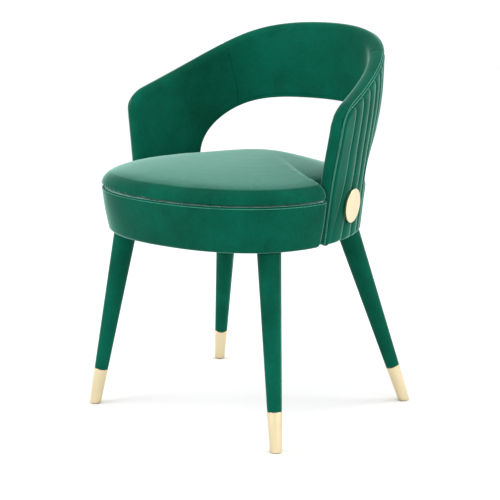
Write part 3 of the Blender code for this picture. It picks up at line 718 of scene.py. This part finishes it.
def inner_cover_half():
    columns = inner_columns()
    shape = (len(HEM) + INNER_ROWS + 1, len(columns))
    places, heights, insets = (np.zeros(shape) for _ in range(3))
    for j, column in enumerate(columns):
        place = inner_place(column, np.full(shape[0], 0.7))
        for _ in range(4):
            top = edge_height(place[-1])
            foot = float(inner_foot(place[0]))
            heights[:, j], insets[:, j] = hem_rows(INNER_ROWS, foot, top)
            place = np.clip(inner_place(column, heights[:, j]), 0.0, 1.0)
        places[:, j] = place
    top_places, top_heights = places[-1].copy(), heights[-1].copy()
    inside = snap_to_opening(places, heights)
    curl = 1.0 - rounded(opening_distance(places, heights) - CUT_GROW, EDGE_CURL)
    points = shell(places, heights, THICKNESS)
    puff = unevenness(points, 0.09, 0.0009, 3.0) * (1.0 - curl)
    groove = seam_groove(places, heights)
    face = shell(places, heights, THICKNESS - insets - groove - 0.0030 * curl + puff)
    edge_dip = 0.0016 * (1.0 - rounded(ROLL_RADIUS * (INNER_ARC - WELT_ANGLE - WELT_GAP), 0.006))
    strip = np.zeros((len(INNER_ARC), len(columns), 3))
    for i, angle in enumerate(INNER_ARC):
        share = i / (len(INNER_ARC) - 1)
        radius = ROLL_RADIUS - groove[-1] * (1.0 - 0.6 * share) + puff[-1] * (1.0 - share) - edge_dip[i]
        strip[i] = roll_point(top_places, top_heights, angle, radius)
    rows = np.array(hem_rows(INNER_ROWS, float(inner_foot(0.0)), float(edge_height(0.0))))
    front = np.zeros((len(rows[0]), len(INNER_ARC), 3))
    for i, angle in enumerate(INNER_ARC):
        front[:, i] = roll_point(0.0, rows[0], angle, ROLL_RADIUS - rows[1] - edge_dip[i])
    return face, strip, front, inside


def seam_groove(place, height):
    away = np.abs(place - seam_place(height)) * PLAN_SPEED
    return SEAM_DEPTH * np.exp(-((away / 0.0016) ** 2))


def build_inner_cover():
    cover = whole_cover("inner_cover", inner_cover_half(), VELVET)
    face_outward(cover, outward=False)
    add_wall(cover, COVER_WALL)
    apply_modifiers(cover)
    cover.data.shade_smooth()
    nodes = ("inner_arm_pad_left", "inner_arm_pad_right", "inner_back_pad", "edge_roll")
    soft_piece(cover, "green_velvet", *nodes)


def edge_path(front_steps=60, top_steps=220):
    """Plan positions and heights along the +X half's edge: up the arm's front, then over to the back's centre."""
    front = np.linspace(HEM_FOOT + 0.003, float(edge_height(0.0)), front_steps)[:-1]
    u = np.linspace(0.0, 1.0, top_steps) ** 1.25
    places = np.concatenate([np.zeros(len(front)), u])
    heights = np.concatenate([front, edge_height(u)])
    return places, heights


def both_halves(rows):
    """A run of points along the +X half, and on along its mirror image."""
    return np.concatenate([rows, rows[-2::-1] * np.array((-1.0, 1.0, 1.0))])


WELT_HALF_WIDTH = 0.0030
WELT_NARROW = 0.0017
WELT_HEIGHT = 0.0009


def build_welt():
    """The flat double-stitched strip that joins the inner cover to the outer one along the edge."""
    places, heights = edge_path()
    centre, normal, outward = edge_frame(places, heights)
    wide = smoothstep(places, 0.0, 0.06) * (WELT_HALF_WIDTH - WELT_NARROW) + WELT_NARROW
    loops = []
    for turn in np.linspace(0.0, 2.0 * math.pi, 13)[:-1]:
        across, rise = math.cos(turn), math.sin(turn)
        height = WELT_HEIGHT * max(rise, 0.0) ** 0.6 - 0.0016 * max(-rise, 0.0) ** 0.6
        angle = WELT_ANGLE + wide * across / ROLL_RADIUS
        side = np.cos(angle)[:, None] * normal + np.sin(angle)[:, None] * outward
        loops.append(both_halves(centre + (ROLL_RADIUS + height) * side))
    welt = tube_loft("seam_welt", np.array(loops).transpose(1, 0, 2), VELVET)
    soft_piece(welt, "green_velvet", "edge_welt")
    runs = []
    for sign in (-1.0, 1.0):
        angle = WELT_ANGLE + sign * (wide - 0.0009) / ROLL_RADIUS
        side = np.cos(angle)[:, None] * normal + np.sin(angle)[:, None] * outward
        run = both_halves(centre + (ROLL_RADIUS + WELT_HEIGHT * 0.78) * side)
        runs.append((run, both_halves(side)))
    return runs


def lining_section():
    """(grow, inset) round the opening's lining: piped lips on both faces, a padded reveal between."""
    lip, reach = 0.0026, THICKNESS - 0.0026
    section = [(0.0062, 0.0016)]
    for degrees in (90, 60, 30, 0, -30):
        angle = math.radians(degrees)
        section.append((lip - lip * math.cos(angle), lip - lip * math.sin(angle)))
    for share in np.linspace(0.18, 0.82, 7):
        section.append((0.0006 - 0.0006 * math.sin(math.pi * share), THICKNESS * share))
    for degrees in (-30, 0, 30, 60, 90):
        angle = math.radians(degrees)
        section.append((lip - lip * math.cos(angle), reach + lip * math.sin(angle)))
    section += [(0.0062, THICKNESS - 0.0016), (0.0034, THICKNESS - 0.0085), (0.0034, 0.0085)]
    return section


def build_lining():
    angles = np.linspace(-math.pi / 2, math.pi / 2, 181)
    loops = []
    for grow, inset in lining_section():
        u, height = opening_edge(angles, grow)
        half = shell(u, height, inset)
        mirror = half[-2:0:-1] * np.array((-1.0, 1.0, 1.0))
        loops.append(np.concatenate([half, mirror]))
    lining = tube_loft("opening_reveal", np.array(loops).transpose(1, 0, 2), VELVET, closed_path=True)
    soft_piece(lining, "green_velvet", "opening_lining")


# Stitching


def resample(points, normals, pitch):
    steps = np.linalg.norm(np.diff(points, axis=0), axis=1)
    along = np.concatenate([[0.0], np.cumsum(steps)])
    count = max(2, int(along[-1] / pitch))
    at = np.linspace(0.0, along[-1], count)
    spots = np.stack([np.interp(at, along, points[:, k]) for k in range(3)], 1)
    facing = unit(np.stack([np.interp(at, along, normals[:, k]) for k in range(3)], 1))
    return spots, facing


def stitch_mesh(name, runs, length=STITCH_LENGTH, radius=STITCH_RADIUS, pitch=STITCH_PITCH):
    """Rows of short threads lying along seams, each dipping into the cloth at its ends."""
    rings = ((-0.5, -1.2, 0.55), (-0.3, 0.1, 1.0), (0.0, 0.5, 1.1), (0.3, 0.1, 1.0), (0.5, -1.2, 0.55))
    turns = np.linspace(0.0, 2.0 * math.pi, 7)[:-1]
    template = [(x * length, rise * radius + swell * radius * math.sin(a), swell * radius * math.cos(a))
                for x, rise, swell in rings for a in turns]
    template = np.array(template)
    ids = np.arange(len(template)).reshape(len(rings), len(turns))
    quads = grid_faces(ids, wrap=True)
    caps = [tuple(ids[0][::-1]), tuple(ids[-1])]
    points, faces = [], []
    for run, normals in runs:
        spots, facing = resample(run, normals, pitch)
        along = unit(np.gradient(spots, axis=0))
        facing = unit(facing - along * (facing * along).sum(-1, keepdims=True))
        across = np.cross(along, facing)
        for spot, t, n, b in zip(spots, along, facing, across):
            start = len(points) * len(template)
            points.append(spot + template[:, :1] * t + template[:, 1:2] * n + template[:, 2:] * b)
            faces += [tuple(start + i for i in face) for face in quads + caps]
    obj = make_piece(name, np.concatenate(points), faces, THREAD)
    return soft_piece(obj, "green_velvet")


def channel_runs():
    """A row of stitches along every stitched line of the outer cover, over and under the opening."""
    runs = []
    for index in range(1, LINE_COUNT + 1):
        place = np.full(160, FIRST_LINE + LINE_SPACING * (index - 1))
        for _ in range(5):
            top = edge_height(place[-1])
            heights = np.linspace(HEM_FOOT + 0.004, top, 160)
            to_welt = edge_height(place) - heights + ARC_LENGTH
            place = np.clip(line_place(index, heights, to_welt), 0.0, 1.0)
        points = shell(place, heights, FLUTE_DEPTH - 0.0001)
        normals = unit(shell(place, heights, 0.0) - shell(place, heights, 0.01))
        left = ARC_LENGTH - ROLL_RADIUS * OUTER_ARC[:-1]
        over = line_place(index, top, left)
        strip = roll_point(over, edge_height(over), OUTER_ARC[:-1], ROLL_RADIUS - FLUTE_DEPTH + 0.0001)
        centre = edge_frame(over, edge_height(over))[0]
        strip_normals = roll_point(over, edge_height(over), OUTER_ARC[:-1], 1.0) - centre
        clear = opening_distance(place, heights) > 0.006
        pieces = split_runs(clear)
        for start, end in pieces:
            run, facing = points[start:end], normals[start:end]
            if end == len(points):
                run, facing = np.concatenate([run, strip]), np.concatenate([facing, unit(strip_normals)])
            if len(run) > 3:
                for side in (1.0, -1.0):
                    flip = np.array((side, 1.0, 1.0))
                    runs.append((run * flip, facing * flip))
    return runs


def split_runs(clear):
    edges = np.flatnonzero(np.diff(np.concatenate([[False], clear, [False]]).astype(int)))
    return list(zip(edges[::2], edges[1::2]))


def opening_runs():
    """One fine row of stitches round the opening, on each face just outside its piped lip."""
    angles = np.linspace(-math.pi / 2, math.pi / 2, 240)
    u, height = opening_edge(angles, 0.0068)
    runs = []
    for inset, deeper in ((FLUTE_DEPTH, 0.01), (THICKNESS - 0.0026, 0.02)):
        half = shell(u, height, inset)
        facing = unit(half - shell(u, height, deeper))
        flip = np.array((-1.0, 1.0, 1.0))
        runs.append((half, facing))
        runs.append((half * flip, facing * flip))
    return runs


REAR_BOXING = ((0.0362, 0.4492), (0.0358, 0.4500), (0.0354, 0.4550), (0.0352, 0.4600), (0.0354, 0.4650),
               (0.0360, 0.4674), (0.0372, 0.4676), (0.0386, 0.4672), (0.0386, 0.4494), (0.0372, 0.4490))


def build_rear_boxing():
    """The narrow cloth strip that covers the deck's edge round the back, under the cushion."""
    u = np.linspace(0.075, 1.0, 140)
    loops = [both_halves(shell(u, height, inset)) for inset, height in REAR_BOXING]
    boxing = tube_loft("rear_boxing", np.array(loops).transpose(1, 0, 2), VELVET)
    soft_piece(boxing, "green_velvet")


# The seat


def seat_front_half(level, steps=70, inset=0.0):
    """The seat's front outline on the +X side, from the middle round the corner to the arm's front."""
    half_width, depth, corner_y = level
    power = 2.0 / SEAT_SQUARENESS
    limit = math.asin(((SEAT_MID_Y - corner_y) / depth) ** (1.0 / power))
    angles = np.linspace(math.pi / 2, limit, steps)
    x = half_width * np.maximum(np.cos(angles), 0.0) ** power
    front = np.stack([x, SEAT_MID_Y - depth * np.sin(angles) ** power], 1)
    turns = np.radians(np.linspace(0, 90, 10)[1:])
    centre = front[-1] - (SEAT_CORNER_RADIUS, 0.0)
    corner = centre + SEAT_CORNER_RADIUS * np.stack([np.cos(turns), np.sin(turns)], 1)
    path = np.concatenate([front, corner])
    along = unit(np.gradient(path, axis=0))
    along[0] = (1.0, 0.0)
    return path + inset * np.stack([-along[:, 1], along[:, 0]], 1)


def even_spaced(path, count):
    steps = np.concatenate([[0.0], np.cumsum(np.linalg.norm(np.diff(path, axis=0), axis=1))])
    at = np.linspace(0.0, steps[-1], count)
    return np.stack([np.interp(at, steps, path[:, k]) for k in range(path.shape[1])], 1)


def seat_half_outline(level, neck_inset, neck_height, count=150):
    """The whole +X half of the cushion's outline, from the front's middle to the back's."""
    front = seat_front_half(level)
    neck = shell(np.linspace(0.055, 1.0, 60), neck_height, neck_inset)[:, :2]
    joint = np.array([[neck[0, 0], front[-1, 1]]])
    return even_spaced(np.concatenate([front, joint, neck]), count)


BAND_SECTION_STEPS = 22
BAND_HEM_RADIUS = 0.0085
BAND_UNDER = 0.0100
BAND_BULGE = 0.0014


def band_section():
    """(height share, inset) up the boxing: turned under, round the hem, up a soft face, into the seam."""
    section = [(0.0, BAND_UNDER), (0.0, 0.0092)]
    for degrees in np.linspace(-88, 0, 9):
        angle = math.radians(degrees)
        section.append((BAND_HEM_RADIUS * (1.0 + math.sin(angle)), BAND_HEM_RADIUS * (1.0 - math.cos(angle))))
    top = SEAM_HEIGHT - SEAT_BOTTOM
    for share in np.linspace(0.0, 1.0, BAND_SECTION_STEPS)[1:]:
        rise = BAND_HEM_RADIUS + (top - BAND_HEM_RADIUS) * share
        dip = 0.0014 * math.exp(-(((top - rise) / 0.0026) ** 2))
        section.append((rise, dip - BAND_BULGE * math.sin(math.pi * share) ** 0.8))
    return section + [(top - 0.0020, 0.0034), (top - 0.0003, 0.0098)]


def band_half(rise, inset, count=150):
    share = rise / (SEAM_HEIGHT - SEAT_BOTTOM)
    low = even_spaced(seat_front_half(AT_FOOT, inset=inset), count)
    high = even_spaced(seat_front_half(AT_SEAM, inset=inset), count)
    plan = low * (1.0 - share) + high * share
    return np.concatenate([plan, np.full((count, 1), SEAT_BOTTOM + rise)], 1)


def build_band():
    rows = [both_halves_front(band_half(rise, inset)) for rise, inset in band_section()]
    grid = np.array(rows)
    grid[2:] += pucker(grid[2:], 0.0006)
    ids = np.arange(grid.shape[0] * grid.shape[1]).reshape(grid.shape[:2])
    band = make_piece("seat_boxing", grid.reshape(-1, 3), grid_faces(ids), VELVET)
    recalculate_normals(band)
    face_outward(band)
    add_wall(band, 0.0034)
    apply_modifiers(band)
    band.data.shade_smooth()
    soft_piece(band, "green_velvet", "seat_band")


def both_halves_front(half):
    """Mirrors a run that starts on the middle line, so that it goes from -X to +X."""
    return np.concatenate([half[:0:-1] * np.array((-1.0, 1.0, 1.0)), half])


def pucker(points, size):
    """Small outward waves of padding."""
    away = points - np.array((0.0, SEAT_MID_Y, 0.0))
    away[..., 2] = 0.0
    return unit(away) * unevenness(points, 0.055, size, 5.0)[..., None]


def band_stitch_run(drop=0.0038):
    rise = SEAM_HEIGHT - SEAT_BOTTOM - drop
    half = band_half(rise, -0.0001)
    run = both_halves_front(half)
    along = unit(np.gradient(run, axis=0))
    return run[4:-4], np.cross(along, (0.0, 0.0, 1.0))[4:-4]


CUSHION_LEVELS = (
    (1.000, 0.00), (1.003, 0.06), (1.004, 0.12), (1.000, 0.18), (0.993, 0.25), (0.982, 0.32), (0.966, 0.39),
    (0.944, 0.46), (0.915, 0.525), (0.875, 0.59), (0.825, 0.655), (0.765, 0.715), (0.695, 0.775),
    (0.61, 0.835),
    (0.51, 0.895), (0.41, 0.94), (0.31, 0.975), (0.20, 0.995), (0.10, 1.0),
)
PRESSURE = 2.5
SIM_FRAMES = 20
MOST_SWELL = 0.022
CUSHION_GRAIN = 0.006
SWELL_KEPT = 0.30
SMOOTH_ROUNDS = 10


def shrunk(loop, size):
    """The cushion's outline at this size, about the centre that belongs to it."""
    centre = np.array((0.0, np.interp(size, CROWN_SIZES, CROWN_CENTRES_Y)))
    return centre + (loop - centre) * size


def cushion_start():
    """The cushion before it is inflated: rings from the seam to the crown, over a flat underside."""
    half = seat_half_outline(AT_SEAM, NECK_INSET + 0.0010, np.array(SEAM_HEIGHT))
    loop = np.concatenate([half, half[-2:0:-1] * np.array((-1.0, 1.0))])
    rise = CROWN_TOP - SEAM_HEIGHT
    behind = smoothstep(loop[:, 1], -0.10, -0.05)[:, None]
    rings = []
    for size, share in CUSHION_LEVELS:
        tucked = min(size, 0.999 - 0.03 * share * (size > 0.9))
        plan = shrunk(loop, size) * (1.0 - behind) + shrunk(loop, tucked) * behind
        rings.append(np.concatenate([plan, np.full((len(plan), 1), SEAM_HEIGHT + 0.0006 + rise * share)], 1))
    bottom = np.full((len(loop), 1), SEAM_HEIGHT + 0.0003)
    under = [np.concatenate([shrunk(loop, size), bottom], 1) for size in (0.5, 0.97)]
    stack = np.array(under + rings)
    return tube_loft("seat_pad", stack, SEAT_VELVET_PAINTED_SHEEN)


def smoothed(values, obj):
    """The same values averaged over each point's neighbours a few times."""
    edges = np.array([e.vertices[:] for e in obj.data.edges])
    count = np.bincount(edges.reshape(-1), minlength=len(values))[:, None]
    for _ in range(SMOOTH_ROUNDS):
        total = np.zeros_like(values)
        np.add.at(total, edges[:, 0], values[edges[:, 1]])
        np.add.at(total, edges[:, 1], values[edges[:, 0]])
        values = 0.5 * values + 0.5 * total / np.maximum(count, 1)
    return values


def inflate(obj, pinned, most):
    """Blows the piece up a little with cloth simulation, then keeps each point within most of its start."""
    start = np.array([v.co for v in obj.data.vertices])
    group = obj.vertex_groups.new(name="pinned")
    group.add([int(i) for i in pinned], 1.0, "REPLACE")
    cloth = obj.modifiers.new("cloth", "CLOTH")
    settings = cloth.settings
    settings.quality = 6
    settings.mass = 0.4
    settings.tension_stiffness = 70.0
    settings.compression_stiffness = 70.0
    settings.bending_stiffness = 14.0
    settings.use_pressure = True
    settings.uniform_pressure_force = PRESSURE
    settings.vertex_group_mass = "pinned"
    settings.effector_weights.gravity = 0.0
    cloth.collision_settings.use_collision = False
    cloth.point_cache.frame_start = 1
    cloth.point_cache.frame_end = SIM_FRAMES
    for number in range(1, SIM_FRAMES + 1):
        bpy.context.scene.frame_set(number)
    apply_modifiers(obj)
    bpy.context.scene.frame_set(1)
    moved = np.array([v.co for v in obj.data.vertices]) - start
    moved = SWELL_KEPT * smoothed(moved, obj)
    length = np.linalg.norm(moved, axis=1, keepdims=True)
    capped = moved * np.minimum(1.0, most / np.maximum(length, 1e-9))
    return start, capped


def build_cushion():
    pad = cushion_start()
    even = pad.modifiers.new("even", "REMESH")
    even.mode = "VOXEL"
    even.voxel_size = CUSHION_GRAIN
    apply_modifiers(pad)
    heights = np.array([v.co.z for v in pad.data.vertices])
    pinned = np.flatnonzero(heights < SEAM_HEIGHT + CUSHION_GRAIN)
    start, swell = inflate(pad, pinned, MOST_SWELL)
    free = 1.0 - smoothstep(start[:, 1], -0.10, -0.06)
    swell[:, :2] *= free[:, None]
    crown = start[:, 2].max()
    final = start + swell
    lift = (crown - SEAM_HEIGHT) / max(final[:, 2].max() - SEAM_HEIGHT, 1e-6)
    above = final[:, 2] > SEAM_HEIGHT + 0.001
    final[above, 2] = SEAM_HEIGHT + (final[above, 2] - SEAM_HEIGHT) * lift
    for vertex, place in zip(pad.data.vertices, final):
        vertex.co = place
    refine = pad.modifiers.new("refine", "SUBSURF")
    refine.levels = refine.render_levels = 1
    apply_modifiers(pad)
    pad.data.shade_smooth()
    soft_piece(pad, "green_velvet", "seat_cushion")


# Legs and brass


def leg_matrix(tip, slope, side):
    axis = Vector((side * slope[0], slope[1], 1.0))
    turn = axis.to_track_quat("Z", "Y").to_matrix().to_4x4()
    turn.translation = (side * tip[0], tip[1], 0.0)
    return turn


def lathe(name, profile, material, matrix, segments=72, flatten=()):
    """A closed profile of (radius, height) turned about Z, placed by matrix. flatten lists (profile
    numbers, height): those rings are slid along the axis to a level plane."""
    turns = np.linspace(0.0, 2.0 * math.pi, segments + 1)[:-1]
    profile = np.array(profile)
    ring = np.stack([np.cos(turns), np.sin(turns)], 1)
    local = np.concatenate(
        [np.concatenate([ring * r, np.full((segments, 1), h)], 1) for r, h in profile]
    ).reshape(len(profile), segments, 3)
    m = np.array(matrix)
    world = local @ m[:3, :3].T + m[:3, 3]
    axis = m[:3, 2]
    for numbers, level in flatten:
        for i in numbers:
            world[i] += ((level - world[i][:, 2]) / axis[2])[:, None] * axis
    ids = np.arange(len(profile) * segments).reshape(len(profile), segments)
    faces = grid_faces(np.concatenate([ids, ids[:1]]), wrap=True)
    obj = make_piece(name, world.reshape(-1, 3), faces, material)
    recalculate_normals(obj)
    return obj


def build_sleeve(tag, tip, slope, side):
    stretch = math.sqrt(1.0 + slope[0] ** 2 + slope[1] ** 2)
    low, high = (FERRULE_HEIGHT + 0.0005) * stretch, LEG_TOP * stretch
    shares = np.linspace(0.0, 1.0, 40)
    outer = [(LEG_LOW_RADIUS + (LEG_TOP_RADIUS - LEG_LOW_RADIUS) * s, low + (high - low) * s) for s in shares]
    hem = [(LEG_LOW_RADIUS - 0.0013, low + 0.0002), (LEG_LOW_RADIUS - 0.0004, low + 0.0001)]
    outer[0] = (LEG_LOW_RADIUS, low + 0.0012)
    inner = [(LEG_TOP_RADIUS - 0.0014, high), (LEG_LOW_RADIUS - 0.0014, low + 0.0008)]
    profile = hem + outer + inner
    top = (len(hem) + len(outer) - 1, len(hem) + len(outer))
    turn = leg_matrix(tip, slope, side)
    sleeve = lathe("leg_cover_" + tag, profile, VELVET, turn, flatten=((top, LEG_TOP),))
    soft_piece(sleeve, "green_velvet", "leg_sleeve_" + tag)
    facing = math.atan2(-slope[1], -side * slope[0]) + math.pi
    runs = leg_seam_run(tip, slope, side, facing)
    return runs


def leg_seam_run(tip, slope, side, facing):
    """The closing seam down the side of the leg that faces the chair's middle."""
    m = np.array(leg_matrix(tip, slope, side))
    stretch = math.sqrt(1.0 + slope[0] ** 2 + slope[1] ** 2)
    shares = np.linspace(0.01, 0.985, 80)
    heights = stretch * (FERRULE_HEIGHT + 0.002 + (LEG_TOP - FERRULE_HEIGHT - 0.004) * shares)
    radius = LEG_LOW_RADIUS + (LEG_TOP_RADIUS - LEG_LOW_RADIUS) * shares
    direction = np.array((math.cos(facing), math.sin(facing), 0.0))
    local = radius[:, None] * direction + heights[:, None] * np.array((0.0, 0.0, 1.0))
    return local @ m[:3, :3].T + m[:3, 3], np.tile(m[:3, :3] @ direction, (len(local), 1))


def build_ferrule(tag, tip, slope, side):
    stretch = math.sqrt(1.0 + slope[0] ** 2 + slope[1] ** 2)
    top = FERRULE_HEIGHT * stretch
    wall = 0.0012
    slant = (FERRULE_TOP_RADIUS - FERRULE_TIP_RADIUS) / (top + 0.006)
    outside = [(FERRULE_TIP_RADIUS + slant * (h + 0.006), h) for h in np.linspace(0.0078, top - 0.0030, 12)]
    profile = [
        (FERRULE_TIP_RADIUS - wall, -0.006),
        (FERRULE_TIP_RADIUS - 0.0004, -0.006),
        (FERRULE_TIP_RADIUS + slant * 0.006, 0.0002),
        *outside,
        (FERRULE_TOP_RADIUS - 0.0001, top - 0.0024),
        (FERRULE_TOP_RADIUS + 0.0003, top - 0.0019),
        (FERRULE_TOP_RADIUS + 0.0004, top - 0.0012),
        (FERRULE_TOP_RADIUS + 0.0003, top - 0.0006),
        (FERRULE_TOP_RADIUS - 0.0001, top - 0.0001),
        (FERRULE_TOP_RADIUS - wall, top - 0.0002),
    ]
    ferrule = lathe(
        "brass_tip_" + tag, profile, BRASS, leg_matrix(tip, slope, side),
        segments=96, flatten=(((0, 1), FERRULE_LIFT), ((2,), FERRULE_LIFT + 0.0010)),
    )
    soft_piece(ferrule, "polished_brass", "ferrule_" + tag)


def build_legs():
    runs = []
    for place, (tip, slope) in LEGS.items():
        for hand, side in (("left", -1), ("right", 1)):
            tag = f"{place}_{hand}"
            runs.append(build_sleeve(tag, tip, slope, side))
            build_ferrule(tag, tip, slope, side)
    return runs


def medallion_matrix(side):
    u, height = MEDALLION_PLACE
    step = 0.01
    centre = shell(u, height)
    along = shell(u + step, height) - shell(u - step, height)
    upward = shell(u, height + step) - shell(u, height - step)
    facing = unit(np.cross(along, upward))
    facing = facing * np.sign(facing[0])
    flip = np.array((side, 1.0, 1.0))
    turn = Vector(facing * flip).to_track_quat("Z", "Y").to_matrix().to_4x4()
    turn.translation = Vector(centre * flip + facing * flip * 0.0009)
    return turn


def build_medallion(hand, side):
    """A flat turned disc with a soft bevel, on its short post."""
    radius, face = MEDALLION_RADIUS, MEDALLION_THICKNESS
    edge = 0.0011
    turns = np.radians(np.linspace(0, 90, 7))
    bevel = [(radius - edge * (1.0 - math.sin(a)), face - edge * (1.0 - math.cos(a))) for a in turns]
    foot = [(radius, 0.0007), (radius - 0.0002, 0.0002), (radius - 0.0006, 0.0)]
    rings = [(radius * s, face) for s in (0.25, 0.5, 0.75, 0.9)]
    profile = [(0.00005, face)] + rings + bevel + foot + [(0.003, 0.0), (0.003, -0.0078), (0.00005, -0.0078)]
    disc = lathe("brass_disc_" + hand, profile, BRASS, medallion_matrix(side), segments=128)
    disc.data.set_sharp_from_angle(angle=math.radians(35))
    soft_piece(disc, "polished_brass", "medallion_" + hand)


# Stage, light and camera

CAMERA_TARGET = Vector((0.0188, -0.0070, 0.3313))
CAMERA_AZIMUTH = math.radians(38.837)
CAMERA_ELEVATION = math.radians(11.751)
CAMERA_DISTANCE = 2.844
CAMERA_LENS = 99.44


def add_camera():
    camera = bpy.data.objects.new("camera", bpy.data.cameras.new("camera"))
    bpy.context.scene.collection.objects.link(camera)
    level = math.cos(CAMERA_ELEVATION)
    back = Vector((
        math.sin(CAMERA_AZIMUTH) * level, -math.cos(CAMERA_AZIMUTH) * level, math.sin(CAMERA_ELEVATION)
    ))
    camera.location = CAMERA_TARGET + back * CAMERA_DISTANCE
    camera.rotation_mode = "QUATERNION"
    camera.rotation_quaternion = (-back).to_track_quat("-Z", "Y")
    camera.data.lens = CAMERA_LENS
    camera.data.sensor_width = 36.0
    bpy.context.scene.camera = camera


def add_area(name, place, target, size, power, colour=(1.0, 1.0, 1.0)):
    lamp = bpy.data.lights.new(name, "AREA")
    lamp.shape = "RECTANGLE"
    lamp.size, lamp.size_y = size
    lamp.energy = power
    lamp.color = colour
    obj = bpy.data.objects.new(name, lamp)
    bpy.context.scene.collection.objects.link(obj)
    obj.location = place
    obj.rotation_mode = "QUATERNION"
    obj.rotation_quaternion = (Vector(target) - Vector(place)).to_track_quat("-Z", "Y")


def add_stage():
    n = Nodes("stage_paper")
    soft = n.noise(1.5, detail=2.0)
    n.set(Base_Color=n.ramp(soft, ((0.3, (0.90, 0.90, 0.90)), (0.7, (0.92, 0.92, 0.92)))), Roughness=0.9)
    size = 9.0
    corners = [(-size, -size, 0.0), (size, -size, 0.0), (size, size, 0.0), (-size, size, 0.0)]
    floor = make_piece("stage_floor", corners, [(0, 1, 2, 3)], n.material, smooth=False)


def add_light():
    world = bpy.data.worlds.new("studio")
    bpy.context.scene.world = world
    world.use_nodes = True
    background = world.node_tree.nodes["Background"]
    background.inputs["Color"].default_value = (1.0, 1.0, 1.0, 1.0)
    background.inputs["Strength"].default_value = 1.12
    centre = (0.0, 0.0, 0.45)
    add_area("key", (-1.6, -2.2, 2.6), centre, (1.8, 1.8), 42.0)
    add_area("rim", (1.8, 2.0, 2.2), centre, (1.6, 1.6), 30.0)
    add_area("side", (2.8, -0.4, 1.2), centre, (1.2, 1.8), 14.0)
    bpy.context.scene.view_settings.view_transform = "Standard"


def build_all():
    dress_cad_nodes()
    build_outer_cover()
    build_inner_cover()
    welt_runs = build_welt()
    build_lining()
    stitch_mesh("outer_stitching", channel_runs())
    stitch_mesh("edge_stitching", welt_runs)
    stitch_mesh("opening_stitching", opening_runs(), radius=0.0003)
    build_rear_boxing()
    build_cushion()
    build_band()
    stitch_mesh("seat_stitching", [band_stitch_run()])
    leg_runs = build_legs()
    stitch_mesh("leg_stitching", leg_runs, radius=0.0003)
    for hand, side in (("left", -1), ("right", 1)):
        build_medallion(hand, side)


build_all()
add_stage()
add_light()
add_camera()
